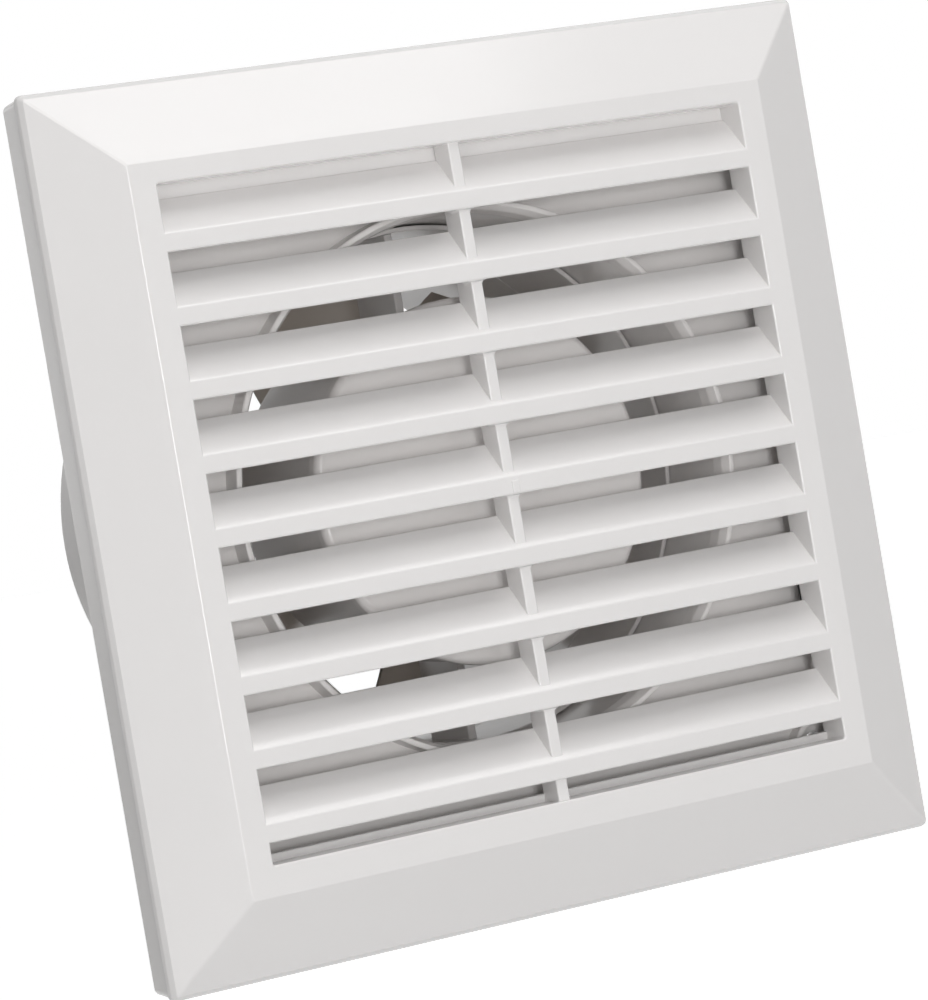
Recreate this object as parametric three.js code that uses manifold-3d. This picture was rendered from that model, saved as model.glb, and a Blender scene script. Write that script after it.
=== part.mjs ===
// Window or wall exhaust fan with a fixed louvred front grille, for a round duct.
// Millimetres. X is to the right, Z is up, and Y runs back into the wall.
// The origin is the centre of the base's wall face, so the room side is at negative Y.

import * as THREE from 'three';
import { mergeVertices } from 'three/addons/utils/BufferGeometryUtils.js';
import Module from 'manifold-3d';

const wasm = await Module();
wasm.setup();

// Clearances
const seatGap = 0.3; // between faces that rest on each other
const slipGap = 0.4; // round the grille's skirt, so that it pulls off
const pressGap = 0.1; // between a shaft and what is pressed on it
const runningGap = 0.1; // between the shaft and its bushes
const rotorGap = 0.4; // air gap round the rotor
const tipGap = 1.6; // between the blade tips and the duct

// Front grille: the sloped square bezel
const grilleSide = 159.2;
const grilleCorner = 1.3;
const flangeDepth = 2.1;
const flangeInset = 0.9;
const flangeBulge = 0.25;
const skirtWall = 2.6;
const mitreCorner = 0.5;
const bezelWidth = 14.1;
const bezelRise = 7.1;
const bezelWall = 2;

// Front grille: the opening and its louvres
const rimSide = 5;
const rimTop = 3.8;
const rimBottom = 5.4;
const openingWall = 1.6;
const openingDepth = 7.2;
const firstLip = 8.8;
const slatPitch = 13;
const slatRun = 6.8;
const slatRise = 7;
const slatWall = 1.6;
const slatEdge = 0.5;
const lipHeight = 3.3;
const lipRound = 0.5;
const mullionWidth = 2.3;
const mullionOffset = -0.55;
const mullionSetback = 0.8;
const webWall = 1;
const ledgeHeight = 2.6;
const tongueWidth = 12;
const tongueWall = 1.2;
const tongueSpacing = 70;
const tongueReach = 2.1;

// Base frame: the tray on the wall
const baseDepth = 7.1;
const baseStep = 0.3;
const baseDraft = 0.45;
const baseCorner = 1.4;
const baseWall = 1.6;
const upstandHeight = 0.9;
const upstandWall = 1.6;
const upstandCorner = 1;
const floorWall = 2;
const floorLift = 1.7;
const ribWall = 1.6;
const ringRibWidth = 2;
const ringRibOffset = 2.5;
const spokeCount = 8;
const bossSpacing = 120;
const bossRadius = 5;
const bossHeight = 3;
const bossHole = 2.2;
const bossSink = 3.9;

// Base frame: the duct
const throatRadius = 47.6;
const ductWall = 1.4;
const collarRise = 4.7;
const collarWall = 1;
const flare = 1.2;
const flareDepth = 4;
const spigotLength = 78;
const spigotDraft = 0.5;
const tipChamfer = 0.6;
const snapDepth = 0.8;
const snapWidth = 8;
const snapLength = 3;
const snapAngle = 62;

// Motor carrier: hoop, struts and cup
const hoopFront = 11.4;
const hoopWall = 0.9;
const strutCount = 4;
const strutWall = 1.7;
const strutDepth = 15.6;
const cupDraft = 1.2;
const cupWall = 1.8;
const cupFloor = 2;
const noseHole = 3.5;
const noseClearance = 0.5;
const pillarRadius = 3.6;
const pillarHole = 1.7;

// Lead channel: the strut on the right that carries the two leads
const leadRadius = 0.65;
const leadSpacing = 1.7;
const leadClearance = 0.35;
const channelWall = 0.9;
const channelDepth = 3.4;

// Motor cap
const capRadius = 33.7;
const capFront = -4.5;
const capSkirt = 3.2;
const capOverhang = 0.5;
const capRound = 1.5;
const capWall = 2;
const plugDepth = 3;

// Motor
const stackSet = 11;
const stackDepth = 12;
const coreClearance = 1.3;
const coreTop = 15;
const coreBottom = -11;
const coreBevel = 4;
const legWidth = 6;
const barHeight = 6;
const windowHeight = 4.4;
const rotorRadius = 8.7;
const rotorRing = 2;
const rotorRingStep = 0.7;
const shaftRadius = 2;
const shaftNose = 0.6;
const shaftTail = 1.4;
const flatDepth = 0.5;
const screwInset = 3.1;
const screwRadius = 1.5;
const screwHeadRadius = 2.8;
const screwHead = 1.8;
const screwBite = 3.4;
const bracketWall = 1.8;
const bracketFoot = 3.2;
const bracketEar = 3.8;
const bracketHubWall = 1.8;
const bushRadius = 3.6;
const bushLength = 4.5;
const washerRadius = 3.2;
const washerWall = 0.5;
const bobbinWall = 0.8;
const windingBuild = 2.4;
const flangeBrim = 0.5;
const shadingWall = 1.4;
const shadingReach = 5.4;
const shadingOverhang = 1.4;
const shadingOffset = 6;

// Impeller
const bladeCount = 6;
const hubRadius = 20;
const impellerGap = 4;
const hubDepth = 23;
const hubWall = 1.6;
const hubRound = 3;
const hubBoss = 4.6;
const bladeRootChord = 20;
const bladeTipChord = 35;
const bladeRootPitch = 48;
const bladeTipPitch = 27;
const bladeWall = 1.8;
const bladeCamber = 0.09;
const bladeSweep = 12;
const impellerTurn = 44;
const clipRadius = 4.4;
const clipDepth = 2.4;

// Electrical pieces behind the right side of the bezel
const blockWidth = 10.4;
const blockLength = 18;
const blockHeight = 5.6;
const blockInset = 2;
const blockTop = -22;
const poleSpacing = 5.2;
const terminalRadius = 1.6;
const terminalDepth = 3;
const terminalRecess = 0.8;
const wireBore = 1.1;
const clampGap = 4;
const clampWidth = 4;
const clampWall = 1.6;
const clampScrewRadius = 1.3;
const clampHeadRadius = 2;
const clampHead = 0.9;
const cablePost = 2.6;
const cablePostHeight = 3.2;
const entryRadius = 3.4;
const entryDrop = 7;

// Steps round curves
const ductSteps = 56;
const podSteps = 48;
const smallSteps = 16;
const shaftSteps = 20;
const cornerSteps = 3;
const leadSteps = 44;

// Places that follow from the dimensions
const grilleHalf = grilleSide / 2;
const skirtRear = -baseDepth - seatGap;
const bezelFoot = skirtRear - flangeDepth;
const crestHalf = grilleHalf - flangeInset;
const rimFront = bezelFoot - bezelRise;
const openingRear = rimFront + openingDepth;
const rimHalf = crestHalf - bezelWidth;
const openingHalfWidth = rimHalf - rimSide;
const openingTop = rimHalf - rimTop;
const openingBottom = rimBottom - rimHalf;
const openingHalfHeight = (openingTop - openingBottom) / 2;
const openingLift = (openingTop + openingBottom) / 2;
const slatRear = rimFront + slatRun;
const topLip = openingTop - firstLip;
const lipRange = topLip - openingBottom - lipHeight - ledgeHeight;
const slatCount = Math.floor(lipRange / slatPitch) + 1;

const baseHalf = grilleHalf - baseStep;
const upstandHalf = grilleHalf - skirtWall - slipGap;
const upstandInner = upstandHalf - upstandWall;
const upstandFront = -baseDepth - upstandHeight;
const floorRear = -floorLift;
const floorFront = floorRear - floorWall;
const floorMiddle = (floorFront + floorRear) / 2;
const bossHalf = bossSpacing / 2;

const hoopRadius = throatRadius + hoopWall;
const boreRadius = hoopRadius + seatGap;
const ductRadius = boreRadius + ductWall;
const collarRadius = boreRadius + flare + collarWall;
const spigotTipRadius = ductRadius - spigotDraft;
const collarFront = floorFront - collarRise;

const cupFront = capFront + capSkirt + seatGap;
const cupFrontRadius = capRadius - capOverhang;
const cupRearRadius = cupFrontRadius - cupDraft;
const cupInnerFrontRadius = cupFrontRadius - cupWall;
const stackFront = cupFront + stackSet;
const stackRear = stackFront + stackDepth;
const frontPlate = stackFront - seatGap - bracketFoot - bracketWall;
const rearPlate = stackRear + seatGap + bracketFoot;
const cupInnerRear = rearPlate + bushLength + noseClearance;
const cupRear = cupInnerRear + cupFloor;
const hoopRear = cupRear;
const shoulder = hoopRear + seatGap;
const strutFront = cupRear - strutDepth;
const leadDepth = cupFront + leadRadius + 1.2;
const channelHalf = leadSpacing / 2 + leadRadius + leadClearance;

const boreOfCore = rotorRadius + rotorGap;
const shadingStart = boreOfCore + pressGap;
const barTop = coreBottom - windowHeight;
const legBottom = barTop - barHeight;
const cupInnerRearRadius = cupRearRadius - cupWall;
const coreHalfWidth = Math.sqrt(cupInnerRearRadius ** 2 - legBottom ** 2) - coreClearance;
const screwOffset = coreHalfWidth - screwInset;
const barHalf = coreHalfWidth - legWidth - seatGap;
const bracketHub = bushRadius + bracketHubWall;
const rotorRingRadius = rotorRadius - rotorRingStep;
const pillarFront = rearPlate + bracketWall + seatGap;
const frontHub = frontPlate + bracketWall - bushLength;
const rearHub = rearPlate + bushLength;

const hubFront = cupRear + impellerGap;
const hubRear = hubFront + hubDepth;
const shaftFront = frontHub - shaftNose;
const shaftBack = hubRear + seatGap + clipDepth + shaftTail;
const bladeTipRadius = throatRadius - tipGap;
const bladeMiddle = hubFront + hubDepth / 2;
const blockFloor = floorFront - seatGap;
const blockSide = upstandInner - blockInset - blockWidth;
const blockMiddle = blockSide + blockWidth / 2;
const clampMiddle = blockTop - blockLength - clampGap - clampWidth / 2;
const entryHeight = clampMiddle - entryDrop;

const vec2 = (x, y) => new THREE.Vector2(x, y);
const vec3 = (x, y, z) => new THREE.Vector3(x, y, z);
const radians = THREE.MathUtils.degToRad;

// A closed geometry, in any order and winding, as a solid that can be joined and cut.
function solidOf(geometry) {
  const bare = geometry.clone();
  bare.deleteAttribute('normal');
  bare.deleteAttribute('uv');
  const merged = mergeVertices(bare);
  const index = merged.index.array;
  const faces = [];
  for (let i = 0; i < index.length; i += 3) {
    const [a, b, c] = index.subarray(i, i + 3);
    if (a !== b && b !== c && c !== a) faces.push([a, b, c]);
  }
  const vertProperties = new Float32Array(merged.attributes.position.array);
  const build = (list) => new wasm.Manifold(
    new wasm.Mesh({ numProp: 3, vertProperties, triVerts: new Uint32Array(list.flat()) }),
  );
  const solid = build(faces);
  return solid.volume() > 0 ? solid : build(faces.map(([a, b, c]) => [a, c, b]));
}

function geometryOf(solid) {
  const mesh = solid.getMesh();
  const geometry = new THREE.BufferGeometry();
  geometry.setAttribute('position', new THREE.BufferAttribute(mesh.vertProperties, 3));
  geometry.setIndex(new THREE.BufferAttribute(mesh.triVerts, 1));
  geometry.computeVertexNormals();
  return geometry;
}

const join = (...solids) => solids.reduce((whole, piece) => whole.add(piece));
const cut = (solid, ...tools) => tools.reduce((rest, tool) => rest.subtract(tool), solid);

// A box between two corners.
function box(x0, x1, y0, y1, z0, z1) {
  const geometry = new THREE.BoxGeometry(x1 - x0, y1 - y0, z1 - z0);
  geometry.translate((x0 + x1) / 2, (y0 + y1) / 2, (z0 + z1) / 2);
  return solidOf(geometry);
}

// A shape drawn in X and Z, extruded from y0 back to y1.
function alongY(shape, y0, y1, curveSegments = smallSteps) {
  const geometry = new THREE.ExtrudeGeometry(shape, {
    depth: y1 - y0,
    bevelEnabled: false,
    curveSegments,
  });
  geometry.rotateX(Math.PI / 2);
  geometry.translate(0, y1, 0);
  return solidOf(geometry);
}

// A shape drawn in Y and Z, extruded from x0 to x1.
function alongX(shape, x0, x1) {
  const geometry = new THREE.ExtrudeGeometry(shape, { depth: x1 - x0, bevelEnabled: false });
  geometry.applyMatrix4(new THREE.Matrix4().makeBasis(vec3(0, 1, 0), vec3(0, 0, 1), vec3(1, 0, 0)));
  geometry.translate(x0, 0, 0);
  return solidOf(geometry);
}

// A profile of [radius, y] points turned about the Y axis.
function turned(profile, steps = smallSteps) {
  const onAxis = profile[0][0] === 0;
  const points = profile.map(([radius, y]) => vec2(radius, y));
  if (!onAxis) points.push(points[0].clone());
  return solidOf(new THREE.LatheGeometry(points, steps));
}

// A round bar along Y, centred on x and z.
function bar(radius, y0, y1, x = 0, z = 0, steps = smallSteps) {
  const profile = [vec2(0, y0), vec2(radius, y0), vec2(radius, y1), vec2(0, y1)];
  const geometry = new THREE.LatheGeometry(profile, steps);
  geometry.translate(x, 0, z);
  return solidOf(geometry);
}

// A tube along Y, centred on x and z.
function tube(inner, outer, y0, y1, x = 0, z = 0, steps = smallSteps) {
  return bar(outer, y0, y1, x, z, steps).subtract(bar(inner, y0 - 1, y1 + 1, x, z, steps));
}

// A square loop with rounded corners at depth y.
function squareLoop(halfX, halfZ, radius, y, lift = 0) {
  const loop = [];
  for (let corner = 0; corner < 4; corner += 1) {
    const signX = corner === 0 || corner === 3 ? 1 : -1;
    const signZ = corner < 2 ? 1 : -1;
    for (let step = 0; step <= cornerSteps; step += 1) {
      const angle = radians(90) * (corner + step / cornerSteps);
      const x = signX * (halfX - radius) + radius * Math.cos(angle);
      const z = signZ * (halfZ - radius) + radius * Math.sin(angle);
      loop.push(vec3(x, y, z + lift));
    }
  }
  return loop;
}

// Loops of equally many points joined one to the next. The last one meets the first,
// or both are closed by rungs across them.
function lofted(loops, capped) {
  const count = loops[0].length;
  const positions = loops.flat().flatMap((point) => point.toArray());
  const index = [];
  const quad = (a, b, c, d) => index.push(a, b, c, a, c, d);
  const spans = capped ? loops.length - 1 : loops.length;
  for (let i = 0; i < spans; i += 1) {
    const near = i * count;
    const far = ((i + 1) % loops.length) * count;
    for (let j = 0; j < count; j += 1) {
      const next = (j + 1) % count;
      quad(near + j, near + next, far + next, far + j);
    }
  }
  if (capped) {
    const last = (loops.length - 1) * count;
    for (let j = 0; j < count / 2 - 1; j += 1) {
      quad(count - 1 - j, count - 2 - j, j + 1, j);
      quad(last + j, last + j + 1, last + count - 2 - j, last + count - 1 - j);
    }
  }
  const geometry = new THREE.BufferGeometry();
  geometry.setAttribute('position', new THREE.Float32BufferAttribute(positions, 3));
  geometry.setIndex(index);
  return solidOf(geometry);
}

// The same solid turned about the Y axis, clockwise seen from the room.
const aboutY = (solid, degrees) => solid.rotate([0, degrees, 0]);

// A pan-head screw with its head to the front.
function screw(headY, shankEnd, radius, headRadius, head, x, z) {
  const domed = [
    [0, headY - head],
    [headRadius * 0.6, headY - head],
    [headRadius, headY - head * 0.45],
    [headRadius, headY],
    [radius, headY],
    [radius, shankEnd - radius],
    [radius * 0.35, shankEnd],
    [0, shankEnd],
  ];
  const slot = box(-headRadius, headRadius, headY - head - 1, headY - head * 0.6, -0.3, 0.3);
  return cut(turned(domed), slot).translate([x, 0, z]);
}

// The bezel: skirt, sloped face, rim and the wall round the opening, as one open shell.
function bezelShell() {
  const slope = Math.atan2(bezelRise, bezelWidth);
  const deep = bezelWall / Math.cos(slope);
  const skirtInner = grilleHalf - skirtWall;
  const innerFoot = bezelFoot + deep - ((crestHalf - skirtInner) * bezelRise) / bezelWidth;
  const wallX = openingHalfWidth + openingWall;
  const wallZ = openingHalfHeight + openingWall;
  const rimUnder = rimFront + bezelWall;
  const innerRim = rimHalf - bezelWall * Math.tan(slope / 2);
  const even = (half, radius, y) => squareLoop(half, half, radius, y);
  const lifted = (halfX, halfZ, y) => squareLoop(halfX, halfZ, 0.3, y, openingLift);
  const bulgeHalf = (grilleHalf + crestHalf) / 2 + flangeBulge;
  return lofted([
    even(grilleHalf, grilleCorner, skirtRear),
    even(grilleHalf, grilleCorner, skirtRear - seatGap),
    even(bulgeHalf, grilleCorner, skirtRear - flangeDepth / 2),
    even(crestHalf, mitreCorner, bezelFoot),
    even(rimHalf, mitreCorner, rimFront),
    lifted(openingHalfWidth, openingHalfHeight, rimFront),
    lifted(openingHalfWidth, openingHalfHeight, openingRear),
    lifted(wallX, wallZ, openingRear),
    lifted(wallX, wallZ, rimUnder),
    even(innerRim, mitreCorner, rimUnder),
    even(skirtInner, mitreCorner, innerFoot),
    even(skirtInner, mitreCorner, skirtRear),
  ], false);
}

// One louvre: an upright lip at the front and a blade that rises to the rear.
function slatSection(lip) {
  const steep = Math.hypot(slatRun, slatRise);
  const back = (slatWall * slatRise) / steep;
  const down = (slatWall * slatRun) / steep;
  const section = new THREE.Shape();
  section.moveTo(rimFront, lip - lipHeight + lipRound);
  section.lineTo(rimFront + lipRound, lip - lipHeight);
  section.lineTo(rimFront + slatWall, lip - lipHeight);
  section.lineTo(rimFront + slatWall, lip - down + ((slatWall - back) * slatRise) / slatRun);
  section.lineTo(slatRear, lip + slatRise - (slatWall * steep) / slatRun);
  section.lineTo(slatRear, lip + slatRise - slatEdge);
  section.lineTo(slatRear - slatEdge, lip + slatRise - (slatEdge * slatRise) / slatRun);
  section.lineTo(rimFront + lipRound, lip + (lipRound * slatRise) / slatRun);
  section.lineTo(rimFront, lip - lipRound);
  return section;
}

function frontGrille() {
  const reach = openingHalfWidth + openingWall / 2;
  const slats = [];
  for (let i = 0; i < slatCount; i += 1) {
    slats.push(alongX(slatSection(topLip - slatPitch * i), -reach, reach));
  }
  const mullionLeft = mullionOffset - mullionWidth / 2;
  const mullion = box(
    mullionLeft, mullionLeft + mullionWidth,
    rimFront + mullionSetback, slatRear - seatGap,
    openingBottom - openingWall / 2, openingTop + openingWall / 2,
  );
  const web = box(
    -reach, reach, slatRear - webWall, slatRear,
    topLip + slatRise - slatWall * 2, openingTop + openingWall / 2,
  );
  const ledge = box(
    -reach, reach, openingRear - webWall, openingRear,
    openingBottom - openingWall / 2, openingBottom + ledgeHeight,
  );
  return join(bezelShell(), ...slats, mullion, web, ledge, ...pullTongues());
}

// Springy tongues inside the skirt that grip the base's upstand, two on each side.
function pullTongues() {
  const outer = upstandInner - seatGap;
  const front = bezelFoot - ((crestHalf - outer) * bezelRise) / bezelWidth;
  const tongues = [];
  for (const quarter of [0, 90, 180, 270]) {
    for (const side of [-1, 1]) {
      const middle = (side * tongueSpacing) / 2;
      const tongue = box(
        outer - tongueWall, outer, front + bezelWall, skirtRear + tongueReach,
        middle - tongueWidth / 2, middle + tongueWidth / 2,
      );
      tongues.push(aboutY(tongue, quarter));
    }
  }
  return tongues;
}

// The square tray: side wall on the wall face, upstand inside the skirt, and floor.
function baseTray() {
  const rearHalf = baseHalf - baseDraft;
  const rearInner = rearHalf - baseWall;
  const level = (half, radius, y) => squareLoop(half, half, radius, y);
  const rim = lofted([
    level(rearHalf, baseCorner, 0),
    level(baseHalf, baseCorner, -baseDepth),
    level(upstandHalf, upstandCorner, -baseDepth),
    level(upstandHalf, upstandCorner, upstandFront),
    level(upstandInner, upstandCorner / 2, upstandFront),
    level(upstandInner, upstandCorner / 2, floorRear),
    level(rearInner, upstandCorner / 2, floorRear),
    level(rearInner, upstandCorner / 2, 0),
  ], false);
  const half = (upstandInner + upstandHalf) / 2;
  const floor = box(-half, half, floorFront, floorRear, -half, half);
  return join(rim, floor);
}

// Ribs behind the floor that bear on the wall: a ring round the spigot, and spokes.
function rearRibs() {
  const inner = ductRadius + ringRibOffset;
  const ring = tube(inner, inner + ringRibWidth, floorMiddle, 0, 0, 0, ductSteps);
  const spokes = [];
  for (let i = 0; i < spokeCount; i += 1) {
    const reach = i % 2 === 0 ? baseHalf - baseDraft - baseWall / 2 : bossHalf * Math.SQRT2;
    const spoke = box(inner + ringRibWidth / 2, reach, floorMiddle, 0, -ribWall / 2, ribWall / 2);
    spokes.push(aboutY(spoke, (360 / spokeCount) * i));
  }
  return [ring, ...spokes];
}

function cornersOf(half) {
  return [[-1, 1], [1, 1], [1, -1], [-1, -1]].map(([x, z]) => [x * half, z * half]);
}

// The duct: a flared collar in front of the floor and the spigot behind it.
function ductTube() {
  const flared = boreRadius + flare;
  return turned([
    [flared, collarFront],
    [boreRadius + flare * 0.35, collarFront + flareDepth * 0.4],
    [boreRadius, collarFront + flareDepth],
    [boreRadius, shoulder],
    [throatRadius, shoulder],
    [throatRadius, spigotLength],
    [spigotTipRadius - tipChamfer, spigotLength],
    [spigotTipRadius, spigotLength - tipChamfer * 2],
    [ductRadius, floorRear],
    [collarRadius, floorRear],
    [collarRadius, collarFront],
  ], ductSteps);
}

// Two small wedges in the bore that hold the motor carrier's hoop against its shoulder.
function snapWedges() {
  const rear = hoopFront - seatGap;
  const root = boreRadius + ductWall / 2;
  const wedge = new THREE.Shape([
    vec2(root, rear - snapLength),
    vec2(boreRadius - 0.1, rear - snapLength),
    vec2(boreRadius - snapDepth, rear - 0.6),
    vec2(boreRadius - snapDepth, rear),
    vec2(root, rear),
  ]);
  const geometry = new THREE.ExtrudeGeometry(wedge, { depth: snapWidth, bevelEnabled: false });
  geometry.translate(0, 0, -snapWidth / 2);
  const solid = solidOf(geometry);
  return [aboutY(solid, snapAngle), aboutY(solid, snapAngle + 180)];
}

// Posts that the cable clamp is screwed down on.
const clampScrewPlaces = [-1, 1].map((side) => blockMiddle + side * (blockWidth / 2 - cablePost / 2));

function clampPosts() {
  return clampScrewPlaces.map((x) => {
    return bar(cablePost, floorFront - cablePostHeight, floorMiddle, x, clampMiddle);
  });
}

function clampPilots() {
  return clampScrewPlaces.map((x) => {
    const hole = clampScrewRadius + pressGap;
    return bar(hole, floorFront - cablePostHeight - 1, floorMiddle, x, clampMiddle);
  });
}

function baseFrame() {
  const corners = cornersOf(bossHalf);
  const bosses = corners.map(([x, z]) => bar(bossRadius, floorFront - bossHeight, 0, x, z));
  const holes = corners.map(([x, z]) => bar(bossHole, floorFront - bossHeight - 1, 1, x, z));
  const sinks = corners.map(([x, z]) => {
    return bar(bossSink, floorFront - bossHeight - 1, floorFront - bossHeight / 3, x, z);
  });
  const bore = bar(boreRadius + ductWall / 2, floorFront - 1, 1, 0, 0, ductSteps);
  const entry = bar(entryRadius, floorFront - 1, 1, blockMiddle, entryHeight);
  const notch = box(
    throatRadius, collarRadius + 1,
    collarFront - 1, floorFront,
    -channelHalf, channelHalf,
  );
  const tray = cut(join(baseTray(), ...bosses, ...rearRibs()), bore);
  const whole = join(tray, ductTube(), ...snapWedges(), ...clampPosts());
  return cut(whole, ...holes, ...sinks, ...clampPilots(), entry, notch);
}

function motorCarrier() {
  const hoop = turned([
    [throatRadius, hoopFront],
    [throatRadius, hoopRear],
    [hoopRadius, hoopRear],
    [hoopRadius, hoopFront],
  ], ductSteps);
  const cup = turned([
    [cupInnerFrontRadius, cupFront],
    [cupFrontRadius, cupFront],
    [cupRearRadius, cupRear],
    [noseHole, cupRear],
    [noseHole, cupInnerRear],
    [cupInnerRearRadius, cupInnerRear],
  ], podSteps);
  const inside = cupRearRadius - cupWall / 2;
  const outside = throatRadius + hoopWall / 2;
  const struts = [];
  for (let i = 1; i < strutCount; i += 1) {
    const strut = box(inside, outside, strutFront, cupRear, -strutWall / 2, strutWall / 2);
    struts.push(aboutY(strut, (360 / strutCount) * i));
  }
  const channelWide = channelHalf + channelWall;
  const channel = cut(
    box(inside, outside, cupFront, cupRear, -channelWide, channelWide),
    box(inside - cupWall, outside + 1, cupFront - 1, cupFront + channelDepth, -channelHalf, channelHalf),
  );
  const doorway = box(
    cupRearRadius - cupWall * 2, cupFrontRadius + 1,
    cupFront - 1, cupFront + channelDepth,
    -channelHalf, channelHalf,
  );
  const pillars = [-screwOffset, screwOffset].map((x) => {
    return bar(pillarRadius, pillarFront, cupRear - cupFloor / 2, x, 0);
  });
  const pilots = [-screwOffset, screwOffset].map((x) => {
    return bar(pillarHole, pillarFront - 1, cupRear - cupFloor / 2 - 0.5, x, 0);
  });
  return cut(join(hoop, cut(cup, doorway), ...struts, channel, ...pillars), ...pilots);
}

// The flat disc in the middle of the opening, with a rounded edge and a plug ring behind.
function motorCap() {
  const plugOuter = cupInnerFrontRadius - seatGap;
  const capRear = capFront + capSkirt;
  const profile = [[0, capFront], [capRadius - capRound, capFront]];
  for (let step = 1; step <= 3; step += 1) {
    const angle = radians(30 * step);
    profile.push([
      capRadius - capRound + capRound * Math.sin(angle),
      capFront + capRound - capRound * Math.cos(angle),
    ]);
  }
  profile.push([capRadius, capRear]);
  profile.push([plugOuter, capRear]);
  profile.push([plugOuter, capRear + plugDepth]);
  profile.push([plugOuter - capWall, capRear + plugDepth]);
  profile.push([plugOuter - capWall, capFront + capWall]);
  profile.push([0, capFront + capWall]);
  const doorway = box(
    plugOuter - capWall * 2, plugOuter + 1,
    capRear, capRear + plugDepth + 1,
    -channelHalf, channelHalf,
  );
  return cut(turned(profile, podSteps), doorway);
}

// Laminated yoke: the block round the rotor and two legs down to the coil's bar.
function statorCore() {
  const legInner = coreHalfWidth - legWidth;
  const outline = new THREE.Shape([
    vec2(-coreHalfWidth, legBottom),
    vec2(-legInner, legBottom),
    vec2(-legInner, coreBottom),
    vec2(legInner, coreBottom),
    vec2(legInner, legBottom),
    vec2(coreHalfWidth, legBottom),
    vec2(coreHalfWidth, coreTop - coreBevel),
    vec2(coreHalfWidth - coreBevel, coreTop),
    vec2(-coreHalfWidth + coreBevel, coreTop),
    vec2(-coreHalfWidth, coreTop - coreBevel),
  ]);
  const stack = alongY(outline, stackFront, stackRear);
  const front = stackFront - 1;
  const rear = stackRear + 1;
  const bore = bar(boreOfCore, front, rear, 0, 0, podSteps / 2);
  const holes = [-screwOffset, screwOffset].map((x) => bar(pillarHole, front, rear, x, 0));
  const slots = [1, -1].flatMap((side) => shadingSlots(side, front, rear));
  return cut(stack, bore, ...holes, ...slots);
}

// The two slots that one shading ring's legs pass through.
function shadingSlots(side, front, rear) {
  const wide = shadingWall / 2 + seatGap;
  const middle = side * shadingOffset;
  const outerLeg = shadingStart + shadingReach - shadingWall;
  const spans = [[0, shadingStart + shadingWall + seatGap],
    [outerLeg - seatGap, outerLeg + shadingWall + seatGap]];
  return spans.map(([near, far]) => {
    const [x0, x1] = side > 0 ? [near, far] : [-far, -near];
    return box(x0, x1, front, rear, middle - wide, middle + wide);
  });
}

// A closed copper band round one edge of a pole.
function shadingRing(side) {
  const x0 = side > 0 ? shadingStart : -shadingStart - shadingReach;
  const x1 = x0 + shadingReach;
  const y0 = stackFront - shadingOverhang;
  const y1 = stackRear + shadingOverhang;
  const middle = side * shadingOffset;
  const low = middle - shadingWall / 2;
  const high = middle + shadingWall / 2;
  const hollow = box(
    x0 + shadingWall, x1 - shadingWall,
    stackFront - seatGap, stackRear + seatGap,
    low - 1, high + 1,
  );
  return cut(box(x0, x1, y0, y1, low, high), hollow);
}

function coreBar() {
  return box(-barHalf, barHalf, stackFront, stackRear, legBottom, barTop);
}

// Nested square sleeves round the core's bar.
function sleeve(halfX, grow, thickness) {
  const outer = grow + thickness;
  return cut(
    box(-halfX, halfX, stackFront - outer, stackRear + outer, legBottom - outer, barTop + outer),
    box(-halfX - 1, halfX + 1, stackFront - grow, stackRear + grow, legBottom - grow, barTop + grow),
  );
}

function coilBobbin() {
  const brim = bobbinWall + windingBuild + flangeBrim;
  const flange = sleeve(bobbinWall / 2, seatGap, brim);
  const side = barHalf - bobbinWall;
  return join(
    sleeve(barHalf - bobbinWall / 2, seatGap, bobbinWall),
    flange.translate([side, 0, 0]),
    flange.translate([-side, 0, 0]),
  );
}

function coilWinding() {
  const half = barHalf - bobbinWall * 1.5 - seatGap;
  return sleeve(half, seatGap + bobbinWall + pressGap, windingBuild - pressGap);
}

// Squirrel-cage rotor: the iron stack with an end ring on each face.
function motorRotor() {
  const bore = shaftRadius + pressGap;
  return turned([
    [bore, stackFront - rotorRing],
    [rotorRingRadius, stackFront - rotorRing],
    [rotorRingRadius, stackFront],
    [rotorRadius, stackFront],
    [rotorRadius, stackRear],
    [rotorRingRadius, stackRear],
    [rotorRingRadius, stackRear + rotorRing],
    [bore, stackRear + rotorRing],
  ], shaftSteps);
}

// The shaft with a flat at its rear end that drives the impeller.
function motorShaft() {
  const shaft = bar(shaftRadius, shaftFront, shaftBack, 0, 0, shaftSteps);
  const flat = box(
    -shaftRadius, shaftRadius,
    hubFront + hubDepth / 2, shaftBack + 1,
    shaftRadius - flatDepth, shaftRadius + 1,
  );
  return cut(shaft, flat);
}

// A bearing bracket: a bar across the motor with an ear, a foot and a hub for the bush.
function bearingBracket(plate, footEnd, hubEnd) {
  const plateRear = plate + bracketWall;
  const [foot0, foot1] = footEnd > plate ? [plateRear - 0.5, footEnd] : [footEnd, plate + 0.5];
  const [hub0, hub1] = hubEnd > plate ? [plate, hubEnd] : [hubEnd, plateRear];
  const strap = box(-screwOffset, screwOffset, plate, plateRear, -bracketEar, bracketEar);
  const ears = [-screwOffset, screwOffset].map((x) => bar(bracketEar, plate, plateRear, x, 0));
  const feet = [-screwOffset, screwOffset].map((x) => bar(bracketEar - 0.6, foot0, foot1, x, 0));
  const hub = bar(bracketHub, hub0, hub1);
  const holes = [-screwOffset, screwOffset].map((x) => {
    return bar(pillarHole, plate - bracketFoot - 1, plateRear + bracketFoot + 1, x, 0);
  });
  const seat = bar(bushRadius + pressGap, hub0 - 1, hub1 + 1);
  return cut(join(strap, hub, ...ears, ...feet), seat, ...holes);
}

function bush(y0) {
  return tube(shaftRadius + runningGap, bushRadius, y0, y0 + bushLength, 0, 0, shaftSteps);
}

function thrustWasher(y0) {
  return tube(shaftRadius + pressGap, washerRadius, y0, y0 + washerWall, 0, 0, shaftSteps);
}

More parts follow.
